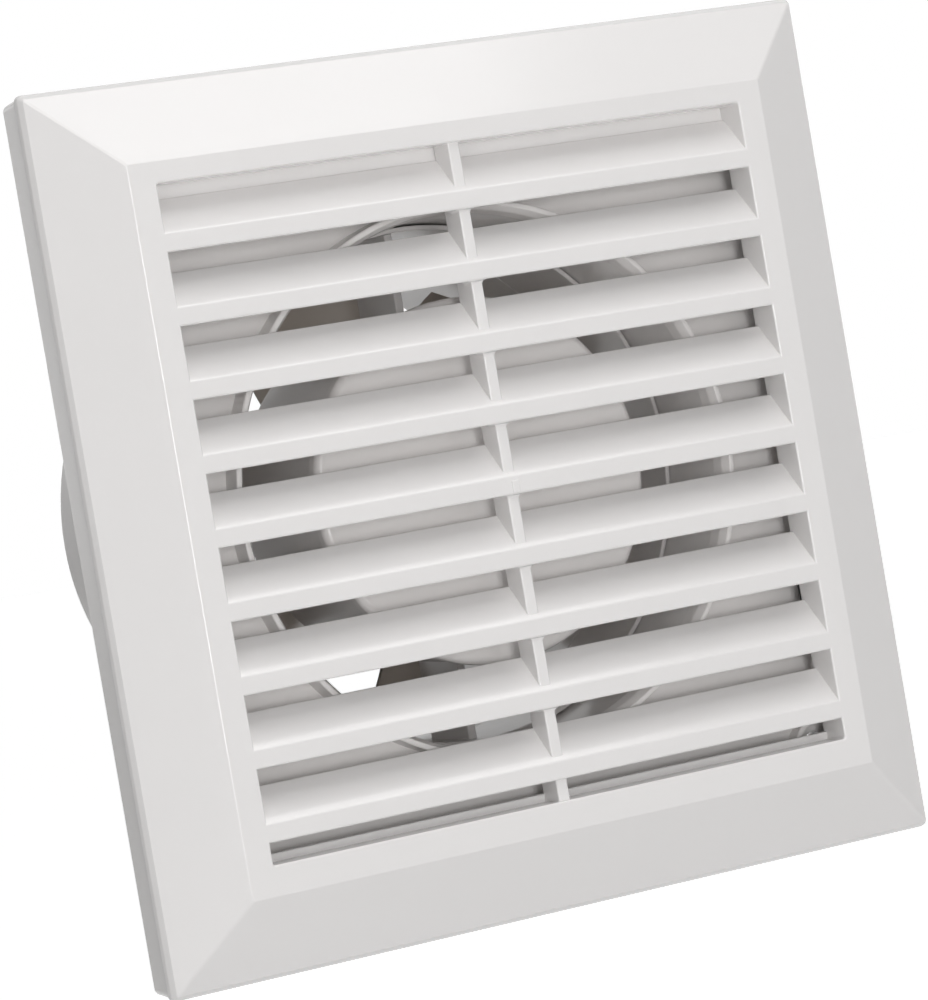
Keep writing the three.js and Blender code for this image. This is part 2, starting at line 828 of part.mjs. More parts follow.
// One blade's section at a radius: a thin strip wrapped on that cylinder and bowed
// towards the room, with its leading edge in front.
function bladeSection(radius) {
  const share = (radius - hubRadius) / (bladeTipRadius - hubRadius);
  const chord = THREE.MathUtils.lerp(bladeRootChord, bladeTipChord, share);
  const pitch = radians(THREE.MathUtils.lerp(bladeRootPitch, bladeTipPitch, share));
  const sweep = radians(bladeSweep * share);
  const steps = 6;
  const place = (along, side) => {
    const bow = -bladeCamber * chord * Math.sin(Math.PI * along);
    const thick = (bladeWall / 2) * (0.35 + 0.65 * Math.sin(Math.PI * along)) * side;
    const chordwise = (along - 0.5) * chord;
    const normal = bow + thick;
    const around = chordwise * Math.cos(pitch) - normal * Math.sin(pitch);
    const back = chordwise * Math.sin(pitch) + normal * Math.cos(pitch);
    const angle = sweep - around / radius;
    return vec3(radius * Math.sin(angle), bladeMiddle + back, radius * Math.cos(angle));
  };
  const upper = [];
  const lower = [];
  for (let i = 0; i <= steps; i += 1) {
    upper.push(place(i / steps, 1));
    lower.unshift(place(i / steps, -1));
  }
  return [...upper, ...lower];
}

function impellerBlade() {
  const root = hubRadius - hubWall / 2;
  const stations = 4;
  const loops = [];
  for (let i = 0; i <= stations; i += 1) {
    loops.push(bladeSection(THREE.MathUtils.lerp(root, bladeTipRadius, i / stations)));
  }
  return lofted(loops, true);
}

// The hub is a cup open towards the motor, with a boss and a flatted bore for the shaft.
function impellerHub() {
  const inner = hubRadius - hubWall;
  const cup = turned([
    [inner, hubFront],
    [hubRadius, hubFront],
    [hubRadius, hubRear - hubRound],
    [hubRadius - hubRound * 0.3, hubRear - hubRound * 0.3],
    [hubRadius - hubRound, hubRear],
    [0, hubRear],
    [0, hubRear - hubWall],
    [inner - hubRound * 0.7, hubRear - hubWall],
    [inner, hubRear - hubWall - hubRound * 0.7],
  ].reverse(), podSteps);
  const boss = bar(hubBoss, hubFront + hubDepth / 2, hubRear - hubWall / 2);
  const ribs = [];
  for (let i = 0; i < bladeCount; i += 1) {
    const rib = box(
      hubBoss - 1, inner + hubWall / 2,
      hubRear - hubDepth * 0.4, hubRear - hubWall / 2,
      -hubWall / 2, hubWall / 2,
    );
    ribs.push(aboutY(rib, (360 / bladeCount) * i));
  }
  return join(cup, boss, ...ribs);
}

function impeller() {
  const blade = impellerBlade();
  const blades = [];
  for (let i = 0; i < bladeCount; i += 1) {
    blades.push(aboutY(blade, impellerTurn + (360 / bladeCount) * i));
  }
  const hollow = bar(hubRadius - hubWall, hubFront - 2, hubRear - hubDepth * 0.4, 0, 0, podSteps);
  const swept = blades.map((piece) => cut(piece, hollow));
  const round = bar(shaftRadius + pressGap, hubFront, hubRear + 1, 0, 0, shaftSteps);
  const flat = box(
    -shaftRadius - 1, shaftRadius + 1,
    hubFront, hubRear + 1,
    shaftRadius - flatDepth + pressGap, shaftRadius + 1,
  );
  return cut(join(impellerHub(), ...swept), cut(round, flat));
}

function impellerClip() {
  const y0 = hubRear + seatGap;
  return tube(shaftRadius + pressGap, clipRadius, y0, y0 + clipDepth, 0, 0, shaftSteps);
}

const poles = [blockMiddle - poleSpacing / 2, blockMiddle + poleSpacing / 2];
const blockFront = blockFloor - blockHeight;
const terminalSeat = blockFront + terminalRecess;

// A two-way terminal block with a screw well and a wire bore for each pole.
function terminalBlock() {
  const body = box(
    blockSide, blockSide + blockWidth, blockFront, blockFloor,
    blockTop - blockLength, blockTop,
  );
  const middle = blockTop - blockLength / 2;
  const wells = poles.map((x) => {
    return bar(terminalRadius + pressGap, blockFront - 1, terminalSeat + terminalDepth, x, middle);
  });
  const bores = poles.map((x) => {
    const bore = new THREE.CylinderGeometry(wireBore, wireBore, blockLength + 2, smallSteps);
    bore.rotateX(Math.PI / 2);
    bore.translate(x, blockFloor - blockHeight * 0.4, middle);
    return solidOf(bore);
  });
  return cut(body, ...wells, ...bores);
}

function terminalScrew(x) {
  const middle = blockTop - blockLength / 2;
  const end = terminalSeat + terminalDepth - seatGap;
  const body = bar(terminalRadius, terminalSeat, end, x, middle);
  const slot = box(
    x - terminalRadius, x + terminalRadius,
    terminalSeat - 1, terminalSeat + 0.6,
    middle - 0.3, middle + 0.3,
  );
  return cut(body, slot);
}

const clampRear = floorFront - cablePostHeight - seatGap;
const clampFront = clampRear - clampWall;

function cableClamp() {
  const half = blockWidth / 2 + 0.2;
  const body = box(
    blockMiddle - half, blockMiddle + half, clampFront, clampRear,
    clampMiddle - clampWidth / 2, clampMiddle + clampWidth / 2,
  );
  const holes = clampScrewPlaces.map((x) => {
    return bar(clampScrewRadius + pressGap, clampFront - 1, clampRear + 1, x, clampMiddle);
  });
  return cut(body, ...holes);
}

function clampScrewAt(x) {
  const headY = clampFront - 0.1;
  const end = floorMiddle - seatGap;
  return screw(headY, end, clampScrewRadius, clampHeadRadius, clampHead, x, clampMiddle);
}

// An insulated lead from its terminal, through the collar and the channel, to the coil.
function lead(pole, side) {
  const out = side * (leadSpacing / 2);
  const boreDepth = blockFloor - blockHeight * 0.4;
  const runX = blockSide + 1.2 + (leadSpacing / 2) * (1 + side);
  const floorRun = floorFront - leadRadius - leadClearance;
  const inner = cupInnerFrontRadius - 3;
  const coilSide = coreHalfWidth - legWidth + leadRadius + 0.4;
  const route = new THREE.CatmullRomCurve3([
    vec3(pole, boreDepth, blockTop + seatGap),
    vec3(pole - 0.4, boreDepth, blockTop + 2.5),
    vec3(runX, floorRun, blockTop + 8),
    vec3(runX, floorRun, -7),
    vec3(runX - 0.8, floorRun, out - 2.2),
    vec3(runX - 3, floorRun, out),
    vec3(boreRadius - 1, floorRun, out),
    vec3(hoopRadius - 4, leadDepth, out),
    vec3(cupFrontRadius, leadDepth, out),
    vec3(inner, leadDepth, out),
    vec3(inner - 3.2 - out, leadDepth + 1.5, out - 4),
    vec3(coreHalfWidth + 2 - out, leadDepth + 3.5, barTop + 4 + out * 1.4),
    vec3(coilSide, stackFront - 2.8, barTop + out * 1.8 - 0.6),
  ], false, 'centripetal');
  const section = new THREE.Shape();
  section.absarc(0, 0, leadRadius, 0, Math.PI * 2, false);
  return solidOf(new THREE.ExtrudeGeometry(section, {
    steps: leadSteps,
    curveSegments: 4,
    extrudePath: route,
    bevelEnabled: false,
  }));
}

const finish = (color, roughness, metalness = 0) => {
  return new THREE.MeshStandardMaterial({ color, roughness, metalness });
};
const whitePlastic = () => finish('#e9e8e4', 0.3);
const innerPlastic = () => finish('#dcdad5', 0.4);
const greyPlastic = () => finish('#55504c', 0.5);
const ironStack = () => finish('#6d6f73', 0.5, 0.8);
const castMetal = () => finish('#a9abad', 0.5, 0.9);
const steel = () => finish('#b9bbbe', 0.3, 1);
const bronze = () => finish('#9a7a4a', 0.4, 1);
const copper = () => finish('#b5652f', 0.35, 1);
const blackNylon = () => finish('#2a2a2b', 0.6);
const fibre = () => finish('#8a5a3a', 0.8);

const fan = new THREE.Group();

function place(name, solid, material) {
  const mesh = new THREE.Mesh(geometryOf(solid), material);
  mesh.name = name;
  fan.add(mesh);
}

const screwFront = frontPlate - 0.1;
const motorScrew = (x) => screw(
  screwFront, pillarFront + screwBite, screwRadius, screwHeadRadius, screwHead, x, 0,
);

place('front_grille', frontGrille(), whitePlastic());
place('base_frame', baseFrame(), innerPlastic());
place('motor_carrier', motorCarrier(), innerPlastic());
place('motor_cap', motorCap(), whitePlastic());
place('stator_core', statorCore(), ironStack());
place('core_bar', coreBar(), ironStack());
place('coil_bobbin', coilBobbin(), blackNylon());
place('coil_winding', coilWinding(), copper());
place('shading_ring_right', shadingRing(1), copper());
place('shading_ring_left', shadingRing(-1), copper());
place('front_bracket', bearingBracket(frontPlate, stackFront - seatGap, frontHub), castMetal());
place('rear_bracket', bearingBracket(rearPlate, stackRear + seatGap, rearHub), castMetal());
place('front_bush', bush(frontHub), bronze());
place('rear_bush', bush(rearPlate), bronze());
place('motor_screw_left', motorScrew(-screwOffset), steel());
place('motor_screw_right', motorScrew(screwOffset), steel());
place('rotor', motorRotor(), ironStack());
place('motor_shaft', motorShaft(), steel());
place('front_thrust_washer', thrustWasher(frontPlate + bracketWall + seatGap), fibre());
place('rear_thrust_washer', thrustWasher(rearPlate - seatGap - washerWall), fibre());
place('impeller', impeller(), greyPlastic());
place('impeller_clip', impellerClip(), steel());
place('terminal_block', terminalBlock(), blackNylon());
place('terminal_screw_live', terminalScrew(poles[0]), bronze());
place('terminal_screw_neutral', terminalScrew(poles[1]), bronze());
place('cable_clamp', cableClamp(), innerPlastic());
place('clamp_screw_left', clampScrewAt(clampScrewPlaces[0]), steel());
place('clamp_screw_right', clampScrewAt(clampScrewPlaces[1]), steel());
place('lead_live', lead(poles[0], -1), finish('#7a4a2c', 0.5));
place('lead_neutral', lead(poles[1], 1), finish('#2f5f9e', 0.5));

export default fan;
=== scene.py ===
import math

import bmesh
import bpy
from mathutils import Matrix, Vector


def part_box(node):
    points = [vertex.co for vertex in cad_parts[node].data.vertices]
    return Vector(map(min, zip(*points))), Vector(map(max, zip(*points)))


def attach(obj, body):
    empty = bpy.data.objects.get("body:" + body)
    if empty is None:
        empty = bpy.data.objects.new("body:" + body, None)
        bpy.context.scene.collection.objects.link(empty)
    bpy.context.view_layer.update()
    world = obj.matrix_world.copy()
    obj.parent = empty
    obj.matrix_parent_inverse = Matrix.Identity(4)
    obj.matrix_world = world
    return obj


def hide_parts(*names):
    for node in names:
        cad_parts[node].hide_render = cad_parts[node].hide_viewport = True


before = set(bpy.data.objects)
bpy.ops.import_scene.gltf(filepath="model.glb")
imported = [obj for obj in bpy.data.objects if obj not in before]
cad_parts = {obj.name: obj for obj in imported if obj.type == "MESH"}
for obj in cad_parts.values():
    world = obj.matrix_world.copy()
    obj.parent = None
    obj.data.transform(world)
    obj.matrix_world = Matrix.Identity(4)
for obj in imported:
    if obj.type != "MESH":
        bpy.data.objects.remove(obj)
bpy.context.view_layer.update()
mm = 0.001
print("stage: frame loaded")

grilleLow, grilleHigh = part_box("front_grille")
baseLow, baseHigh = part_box("base_frame")
carrierLow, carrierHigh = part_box("motor_carrier")
capLow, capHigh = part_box("motor_cap")
wheelLow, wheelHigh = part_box("impeller")


# camera, solved from the photograph's square front
camera = {
    "place": (-0.36742, -0.7021, 0.01484),
    "aim": (-0.00724, -0.0095, -0.00285),
    "roll": 9.6785,  # degrees, the top of the fan leans left
    "lens": 155.892,
}


def makeCamera(settings):
    data = bpy.data.cameras.new("photoCamera")
    data.lens = settings["lens"]
    data.clip_start = 0.01
    obj = bpy.data.objects.new("photoCamera", data)
    bpy.context.collection.objects.link(obj)
    place = Vector(settings["place"])
    forward = (Vector(settings["aim"]) - place).normalized()
    right = forward.cross(Vector((0, 0, 1))).normalized()
    up = right.cross(forward)
    roll = Matrix.Rotation(math.radians(settings["roll"]), 3, forward)
    right, up = roll @ right, roll @ up
    axes = Matrix((right, up, -forward)).transposed()
    obj.matrix_world = Matrix.Translation(place) @ axes.to_4x4()
    bpy.context.scene.camera = obj


makeCamera(camera)


# profiles and meshes

meshing = {
    "longestSetback": 0.49,  # the share of an edge that one fillet may take
    "weld": 1e-7,
    "sliver": 1e-8,
    "crease": 38,  # degrees, from which an edge stays sharp
    "flatsWeight": 60,
}


def filleted(corners, closed=True, steps=5):
    # corners are (a, b, radius), and each radius becomes an arc
    out = []
    count = len(corners)
    for i, (a, b, radius) in enumerate(corners):
        here = Vector((a, b))
        if radius <= 0 or (not closed and i in (0, count - 1)):
            out.append((a, b))
            continue
        before = Vector(corners[i - 1][:2]) - here
        after = Vector(corners[(i + 1) % count][:2]) - here
        half = before.angle(after) / 2
        longest = min(before.length * meshing["longestSetback"],
                      after.length * meshing["longestSetback"])
        setback = min(radius / math.tan(half), longest)
        size = setback * math.tan(half)
        inward = (before.normalized() + after.normalized()).normalized()
        middle = here + inward * (size / math.sin(half))
        start = here + before.normalized() * setback - middle
        end = here + after.normalized() * setback - middle
        sweep = start.angle_signed(end)
        for step in range(steps + 1):
            out.append(tuple(middle + Matrix.Rotation(-sweep * step / steps, 2) @ start))
    return out


def squareLoop(halfX, halfZ, radius, y, lift=0.0, steps=8):
    # steps is the count of each rounded corner, and lift moves the loop up
    loop = []
    for corner in range(4):
        signX = 1 if corner in (0, 3) else -1
        signZ = 1 if corner < 2 else -1
        for step in range(steps + 1):
            angle = math.radians(90) * (corner + step / steps)
            x = signX * (halfX - radius) + radius * math.cos(angle)
            z = signZ * (halfZ - radius) + radius * math.sin(angle)
            loop.append(Vector((x, y, z + lift)))
    return loop


def circleLoop(radius, y, steps):
    angles = [2 * math.pi * i / steps for i in range(steps)]
    return [Vector((radius * math.sin(a), y, radius * math.cos(a))) for a in angles]


def toObject(name, bm):
    bmesh.ops.remove_doubles(bm, verts=bm.verts, dist=meshing["weld"])
    bmesh.ops.dissolve_degenerate(bm, dist=meshing["sliver"], edges=bm.edges)
    bmesh.ops.recalc_face_normals(bm, faces=bm.faces)
    mesh = bpy.data.meshes.new(name)
    bm.to_mesh(mesh)
    bm.free()
    obj = bpy.data.objects.new(name, mesh)
    bpy.context.collection.objects.link(obj)
    return obj


def bridged(bm, loops, ring=False):
    # faces from each loop to the next, and with ring also from the last to the first
    rows = [[bm.verts.new(point) for point in loop] for loop in loops]
    for i in range(len(rows) if ring else len(rows) - 1):
        near, far = rows[i], rows[(i + 1) % len(rows)]
        for j in range(len(near)):
            k = (j + 1) % len(near)
            bm.faces.new((near[j], near[k], far[k], far[j]))
    return rows


def loft(name, loops, ring=True):
    # without ring both ends are closed by a face
    bm = bmesh.new()
    rows = bridged(bm, loops, ring)
    if not ring:
        bm.faces.new(rows[0])
        bm.faces.new(list(reversed(rows[-1])))
    return toObject(name, bm)


def revolve(name, profile, steps, closed=True):
    # profile points are (radius, y)
    loops = [circleLoop(max(radius, 0.0), y, steps) for radius, y in profile]
    if closed:
        return loft(name, loops)
    bm = bmesh.new()
    bridged(bm, loops)
    return toObject(name, bm)


def softBox(name, low, high, soft, segments=3):
    bm = bmesh.new()
    bmesh.ops.create_cube(bm, size=1)
    low, high = Vector(low), Vector(high)
    for vert in bm.verts:
        vert.co = Vector((low[i] + (high[i] - low[i]) * (vert.co[i] + 0.5) for i in range(3)))
    if soft > 0:
        bmesh.ops.bevel(bm, geom=bm.edges, offset=soft, segments=segments,
                        profile=0.5, affect="EDGES")
    return toObject(name, bm)


def extrudeAcross(name, section, x0, x1):
    # section points are (y, z)
    loops = [[Vector((x, y, z)) for y, z in section] for x in (x0, x1)]
    return loft(name, loops, ring=False)


def discard(obj):
    old = obj.data
    bpy.data.objects.remove(obj)
    bpy.data.meshes.remove(old)


def merged(name, parts):
    bm = bmesh.new()
    for part in parts:
        bm.from_mesh(part.data)
    mesh = bpy.data.meshes.new(name)
    bm.to_mesh(mesh)
    bm.free()
    for part in parts:
        discard(part)
    obj = bpy.data.objects.new(name, mesh)
    bpy.context.collection.objects.link(obj)
    return obj


def baked(obj):
    # modifiers become plain mesh
    graph = bpy.context.evaluated_depsgraph_get()
    mesh = bpy.data.meshes.new_from_object(
        obj.evaluated_get(graph), preserve_all_data_layers=True, depsgraph=graph)
    old = obj.data
    obj.modifiers.clear()
    obj.data = mesh
    bpy.data.meshes.remove(old)
    return obj


def cutBy(obj, tools):
    for tool in tools:
        modifier = obj.modifiers.new("cut", "BOOLEAN")
        modifier.object = tool
        modifier.operation = "DIFFERENCE"
        modifier.solver = "EXACT"
    baked(obj)
    for tool in tools:
        discard(tool)
    return obj


def finished(obj, material, body, nodes):
    # smooth shading that keeps flats flat, then the piece's place in the frame
    obj.data.polygons.foreach_set("use_smooth", [True] * len(obj.data.polygons))
    obj.data.set_sharp_from_angle(angle=math.radians(meshing["crease"]))
    modifier = obj.modifiers.new("flats", "WEIGHTED_NORMAL")
    modifier.weight = meshing["flatsWeight"]
    modifier.keep_sharp = True
    baked(obj)
    obj.data.materials.clear()
    obj.data.materials.append(material)
    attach(obj, body)
    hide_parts(*nodes)
    return obj


# geometry node trees that repeat a piece in a row or in a ring


def repeatTree(name, sizes):
    tree = bpy.data.node_groups.new(name, "GeometryNodeTree")
    face = tree.interface
    face.new_socket("Piece", in_out="INPUT", socket_type="NodeSocketGeometry")
    for label, kind in sizes:
        face.new_socket(label, in_out="INPUT", socket_type=kind)
    face.new_socket("Finish", in_out="INPUT", socket_type="NodeSocketMaterial")
    face.new_socket("Copies made", in_out="OUTPUT", socket_type="NodeSocketGeometry")
    source = tree.nodes.new("NodeGroupInput")
    line = tree.nodes.new("GeometryNodeMeshLine")
    spread = tree.nodes.new("GeometryNodeInstanceOnPoints")
    real = tree.nodes.new("GeometryNodeRealizeInstances")
    paint = tree.nodes.new("GeometryNodeSetMaterial")
    sink = tree.nodes.new("NodeGroupOutput")
    tree.links.new(source.outputs["Copies"], line.inputs["Count"])
    tree.links.new(line.outputs["Mesh"], spread.inputs["Points"])
    tree.links.new(source.outputs["Piece"], spread.inputs["Instance"])
    tree.links.new(spread.outputs["Instances"], real.inputs["Geometry"])
    tree.links.new(real.outputs["Geometry"], paint.inputs["Geometry"])
    tree.links.new(source.outputs["Finish"], paint.inputs["Material"])
    tree.links.new(paint.outputs["Geometry"], sink.inputs["Copies made"])
    return tree, source, line, spread


def rowTree():
    sizes = [("Copies", "NodeSocketInt"), ("Step", "NodeSocketVector")]
    tree, source, line, spread = repeatTree("rowOfCopies", sizes)
    tree.links.new(source.outputs["Step"], line.inputs["Offset"])
    return tree


def ringTree():
    sizes = [("Copies", "NodeSocketInt"), ("First angle", "NodeSocketFloat")]
    tree, source, line, spread = repeatTree("ringOfCopies", sizes)
    line.inputs["Offset"].default_value = (0, 0, 0)
    index = tree.nodes.new("GeometryNodeInputIndex")
    share = tree.nodes.new("ShaderNodeMath")
    share.operation = "DIVIDE"
    angle = tree.nodes.new("ShaderNodeMath")
    angle.operation = "MULTIPLY_ADD"
    angle.inputs[1].default_value = 2 * math.pi
    about = tree.nodes.new("ShaderNodeCombineXYZ")
    turn = tree.nodes.new("FunctionNodeEulerToRotation")
    tree.links.new(index.outputs[0], share.inputs[0])
    tree.links.new(source.outputs["Copies"], share.inputs[1])
    tree.links.new(share.outputs[0], angle.inputs[0])
    tree.links.new(source.outputs["First angle"], angle.inputs[2])
    tree.links.new(angle.outputs[0], about.inputs["Y"])
    tree.links.new(about.outputs[0], turn.inputs[0])
    tree.links.new(turn.outputs[0], spread.inputs["Rotation"])
    return tree


def repeated(obj, tree, values):
    modifier = obj.modifiers.new(tree.name, "NODES")
    modifier.node_group = tree
    for item in tree.interface.items_tree:
        if item.item_type == "SOCKET" and item.in_out == "INPUT" and item.name in values:
            modifier[item.identifier] = values[item.name]
    return baked(obj)


inRow = rowTree()
inRing = ringTree()


def rowOf(obj, copies, step, finish):
    return repeated(obj, inRow, {"Copies": copies, "Step": step, "Finish": finish})


def ringOf(obj, copies, turn, finish):
    # turn is the first copy's angle in radians, about the duct's axis
    return repeated(obj, inRing, {"Copies": copies, "First angle": turn, "Finish": finish})


# shader groups shared by the finishes


def newGroup(name, inputs, outputs):
    tree = bpy.data.node_groups.new(name, "ShaderNodeTree")
    for label, kind, value in inputs:
        socket = tree.interface.new_socket(label, in_out="INPUT", socket_type=kind)
        socket.default_value = value
    for label, kind in outputs:
        tree.interface.new_socket(label, in_out="OUTPUT", socket_type=kind)
    source = tree.nodes.new("NodeGroupInput")
    sink = tree.nodes.new("NodeGroupOutput")
    return tree, source, sink


def noiseOn(tree, coordinates, scale, detail, roughness=0.5):
    noise = tree.nodes.new("ShaderNodeTexNoise")
    noise.inputs["Detail"].default_value = detail
    noise.inputs["Roughness"].default_value = roughness
    tree.links.new(coordinates, noise.inputs["Vector"])
    if hasattr(scale, "links"):
        tree.links.new(scale, noise.inputs["Scale"])
    else:
        noise.inputs["Scale"].default_value = scale
    return noise.outputs["Fac"]


def mathOn(tree, operation, a, b, c=None):
    node = tree.nodes.new("ShaderNodeMath")
    node.operation = operation
    for i, value in enumerate((a, b, c)):
        if value is None:
            continue
        if hasattr(value, "links"):
            tree.links.new(value, node.inputs[i])
        else:
            node.inputs[i].default_value = value
    return node.outputs[0]


def mixOn(tree, factor, a, b):
    node = tree.nodes.new("ShaderNodeMix")
    node.data_type = "RGBA"
    # a mix of two colours takes them on its sockets 6 and 7 and gives the result on 2
    for socket, value in ((node.inputs[0], factor), (node.inputs[6], a), (node.inputs[7], b)):
        if hasattr(value, "links"):
            tree.links.new(value, socket)
        else:
            socket.default_value = value
    return node.outputs[2]


skin = {
    "flowDetail": 3,
    "flowHeight": 1.5,  # times the grain's height
    "grainDetail": 1,
    "smearScale": 140,
    "smearDetail": 4,
    "smearRoughness": 0.6,
}


def mouldedSkin(s):
    # flow mottle, fine spark-eroded grain and small gloss changes of a moulding
    tree, source, sink = newGroup("mouldedSkin", [
        ("Colour", "NodeSocketColor", (0.8, 0.8, 0.8, 1)),
        ("Shade colour", "NodeSocketColor", (0.7, 0.7, 0.7, 1)),
        ("Mottle scale", "NodeSocketFloat", 22),
        ("Mottle", "NodeSocketFloat", 0.4),
        ("Grain scale", "NodeSocketFloat", 2600),
        ("Roughness", "NodeSocketFloat", 0.3),
        ("Gloss change", "NodeSocketFloat", 0.1),
    ], [("Colour", "NodeSocketColor"), ("Roughness", "NodeSocketFloat"),
        ("Height", "NodeSocketFloat")])
    place = tree.nodes.new("ShaderNodeTexCoord").outputs["Object"]
    flow = noiseOn(tree, place, source.outputs["Mottle scale"], s["flowDetail"])
    grain = noiseOn(tree, place, source.outputs["Grain scale"], s["grainDetail"])
    smear = noiseOn(tree, place, s["smearScale"], s["smearDetail"], s["smearRoughness"])
    amount = mathOn(tree, "MULTIPLY", flow, source.outputs["Mottle"])
    colour = mixOn(tree, amount, source.outputs["Colour"], source.outputs["Shade colour"])
    centred = mathOn(tree, "SUBTRACT", smear, 0.5)
    rough = mathOn(tree, "MULTIPLY_ADD", centred, source.outputs["Gloss change"],
                   source.outputs["Roughness"])
    height = mathOn(tree, "MULTIPLY_ADD", flow, s["flowHeight"], grain)
    tree.links.new(colour, sink.inputs["Colour"])
    tree.links.new(rough, sink.inputs["Roughness"])
    tree.links.new(height, sink.inputs["Height"])
    return tree


lined = {
    "stainScale": 260,
    "stainDetail": 3,
    "stainShare": 0.35,
    "stainGloss": 0.3,
}


def stackedLines(s):
    # even lines along one axis: laminations, turned metal or wire turns
    tree, source, sink = newGroup("stackedLines", [
        ("Colour", "NodeSocketColor", (0.5, 0.5, 0.5, 1)),
        ("Line colour", "NodeSocketColor", (0.2, 0.2, 0.2, 1)),
        ("Direction", "NodeSocketVector", (0, 1, 0)),
        ("Lines per metre", "NodeSocketFloat", 2000),
        ("Sharpness", "NodeSocketFloat", 3),
        ("Roughness", "NodeSocketFloat", 0.4),
    ], [("Colour", "NodeSocketColor"), ("Roughness", "NodeSocketFloat"),
        ("Height", "NodeSocketFloat")])
    place = tree.nodes.new("ShaderNodeTexCoord").outputs["Object"]
    along = tree.nodes.new("ShaderNodeVectorMath")
    along.operation = "DOT_PRODUCT"
    tree.links.new(place, along.inputs[0])
    tree.links.new(source.outputs["Direction"], along.inputs[1])
    turns = mathOn(tree, "MULTIPLY", along.outputs["Value"], source.outputs["Lines per metre"])
    cell = mathOn(tree, "PINGPONG", turns, 0.5)
    even = mathOn(tree, "MULTIPLY", cell, 2)
    crest = mathOn(tree, "POWER", even, source.outputs["Sharpness"])
    stain = noiseOn(tree, place, s["stainScale"], s["stainDetail"])
    stained = mathOn(tree, "MULTIPLY_ADD", stain, s["stainShare"], crest)
    limited = mathOn(tree, "MINIMUM", stained, 1.0)
    colour = mixOn(tree, limited, source.outputs["Colour"], source.outputs["Line colour"])
    change = mathOn(tree, "SUBTRACT", stain, 0.5)
    rough = mathOn(tree, "MULTIPLY_ADD", change, s["stainGloss"], source.outputs["Roughness"])
    height = mathOn(tree, "SUBTRACT", 1.0, crest)
    tree.links.new(colour, sink.inputs["Colour"])
    tree.links.new(rough, sink.inputs["Roughness"])
    tree.links.new(height, sink.inputs["Height"])
    return tree


skinGroup = mouldedSkin(skin)
lineGroup = stackedLines(lined)

relief = {
    "depth": 0.00002,
    "plastic": 0.1,
    "metal": 0.3,
}


def finishFrom(name, group, values, bump, metallic=0.0, clear=0.0):
    material = bpy.data.materials.new(name)
    material.use_nodes = True
    tree = material.node_tree
    surface = tree.nodes["Principled BSDF"]
    effect = tree.nodes.new("ShaderNodeGroup")
    effect.node_tree = group
    for label, value in values.items():
        effect.inputs[label].default_value = value
    raised = tree.nodes.new("ShaderNodeBump")
    raised.inputs["Strength"].default_value = bump
    raised.inputs["Distance"].default_value = relief["depth"]
    surface.inputs["Metallic"].default_value = metallic
    surface.inputs["IOR"].default_value = 1.5
    surface.inputs["Transmission Weight"].default_value = clear
    tree.links.new(effect.outputs["Colour"], surface.inputs["Base Color"])
    tree.links.new(effect.outputs["Roughness"], surface.inputs["Roughness"])
    tree.links.new(effect.outputs["Height"], raised.inputs["Height"])
    tree.links.new(raised.outputs["Normal"], surface.inputs["Normal"])
    return material


def plastic(name, colour, shade, roughness, clear=0.0, mottle=0.35, grain=2600):
    return finishFrom(name, skinGroup, {
        "Colour": (*colour, 1), "Shade colour": (*shade, 1), "Roughness": roughness,
        "Mottle": mottle, "Grain scale": grain,
    }, bump=relief["plastic"], clear=clear)


def metal(name, colour, line, direction, perMetre, roughness, sharpness=3):
    return finishFrom(name, lineGroup, {
        "Colour": (*colour, 1), "Line colour": (*line, 1), "Direction": direction,
        "Lines per metre": perMetre, "Roughness": roughness, "Sharpness": sharpness,
    }, bump=relief["metal"], metallic=1.0)


grilleWhite = plastic("grilleWhite", (0.825, 0.808, 0.8), (0.795, 0.778, 0.77), 0.14)
frameWhite = plastic("frameWhite", (0.85, 0.825, 0.81), (0.81, 0.785, 0.77), 0.23)
podWhite = plastic("podWhite", (0.85, 0.825, 0.81), (0.815, 0.79, 0.775), 0.24)
# the impeller's dark brownish grey is painted shade for the inside of the duct, and its
# plastic lets a little light through
wheelPaintedShade = plastic("wheelPaintedShade", (0.4, 0.355, 0.315), (0.35, 0.31, 0.275), 0.4, clear=0.5,
                    grain=1800)
blackNylon = plastic("blackNylon", (0.02, 0.02, 0.021), (0.03, 0.03, 0.03), 0.5)
fibreRed = plastic("fibreRed", (0.25, 0.1, 0.05), (0.16, 0.07, 0.04), 0.8, mottle=0.9)
brownSleeve = plastic("brownSleeve", (0.17, 0.07, 0.03), (0.13, 0.05, 0.025), 0.45)
blueSleeve = plastic("blueSleeve", (0.03, 0.1, 0.32), (0.025, 0.08, 0.26), 0.45)
coreIron = metal("coreIron", (0.32, 0.33, 0.35), (0.09, 0.08, 0.08), (0, 1, 0), 2000, 0.45)
castZinc = metal("castZinc", (0.5, 0.5, 0.5), (0.4, 0.4, 0.4), (1, 0, 1), 900, 0.5, 1)
brightSteel = metal("brightSteel", (0.6, 0.6, 0.61), (0.5, 0.5, 0.5), (0, 1, 0), 5000, 0.26, 2)
bronze = metal("bronze", (0.55, 0.38, 0.16), (0.4, 0.27, 0.11), (0, 1, 0), 5000, 0.35, 2)
copperWire = metal("copperWire", (0.6, 0.24, 0.09), (0.13, 0.03, 0.01), (1, 0, 0), 2600, 0.3)
print("stage: finishes made")


# front grille

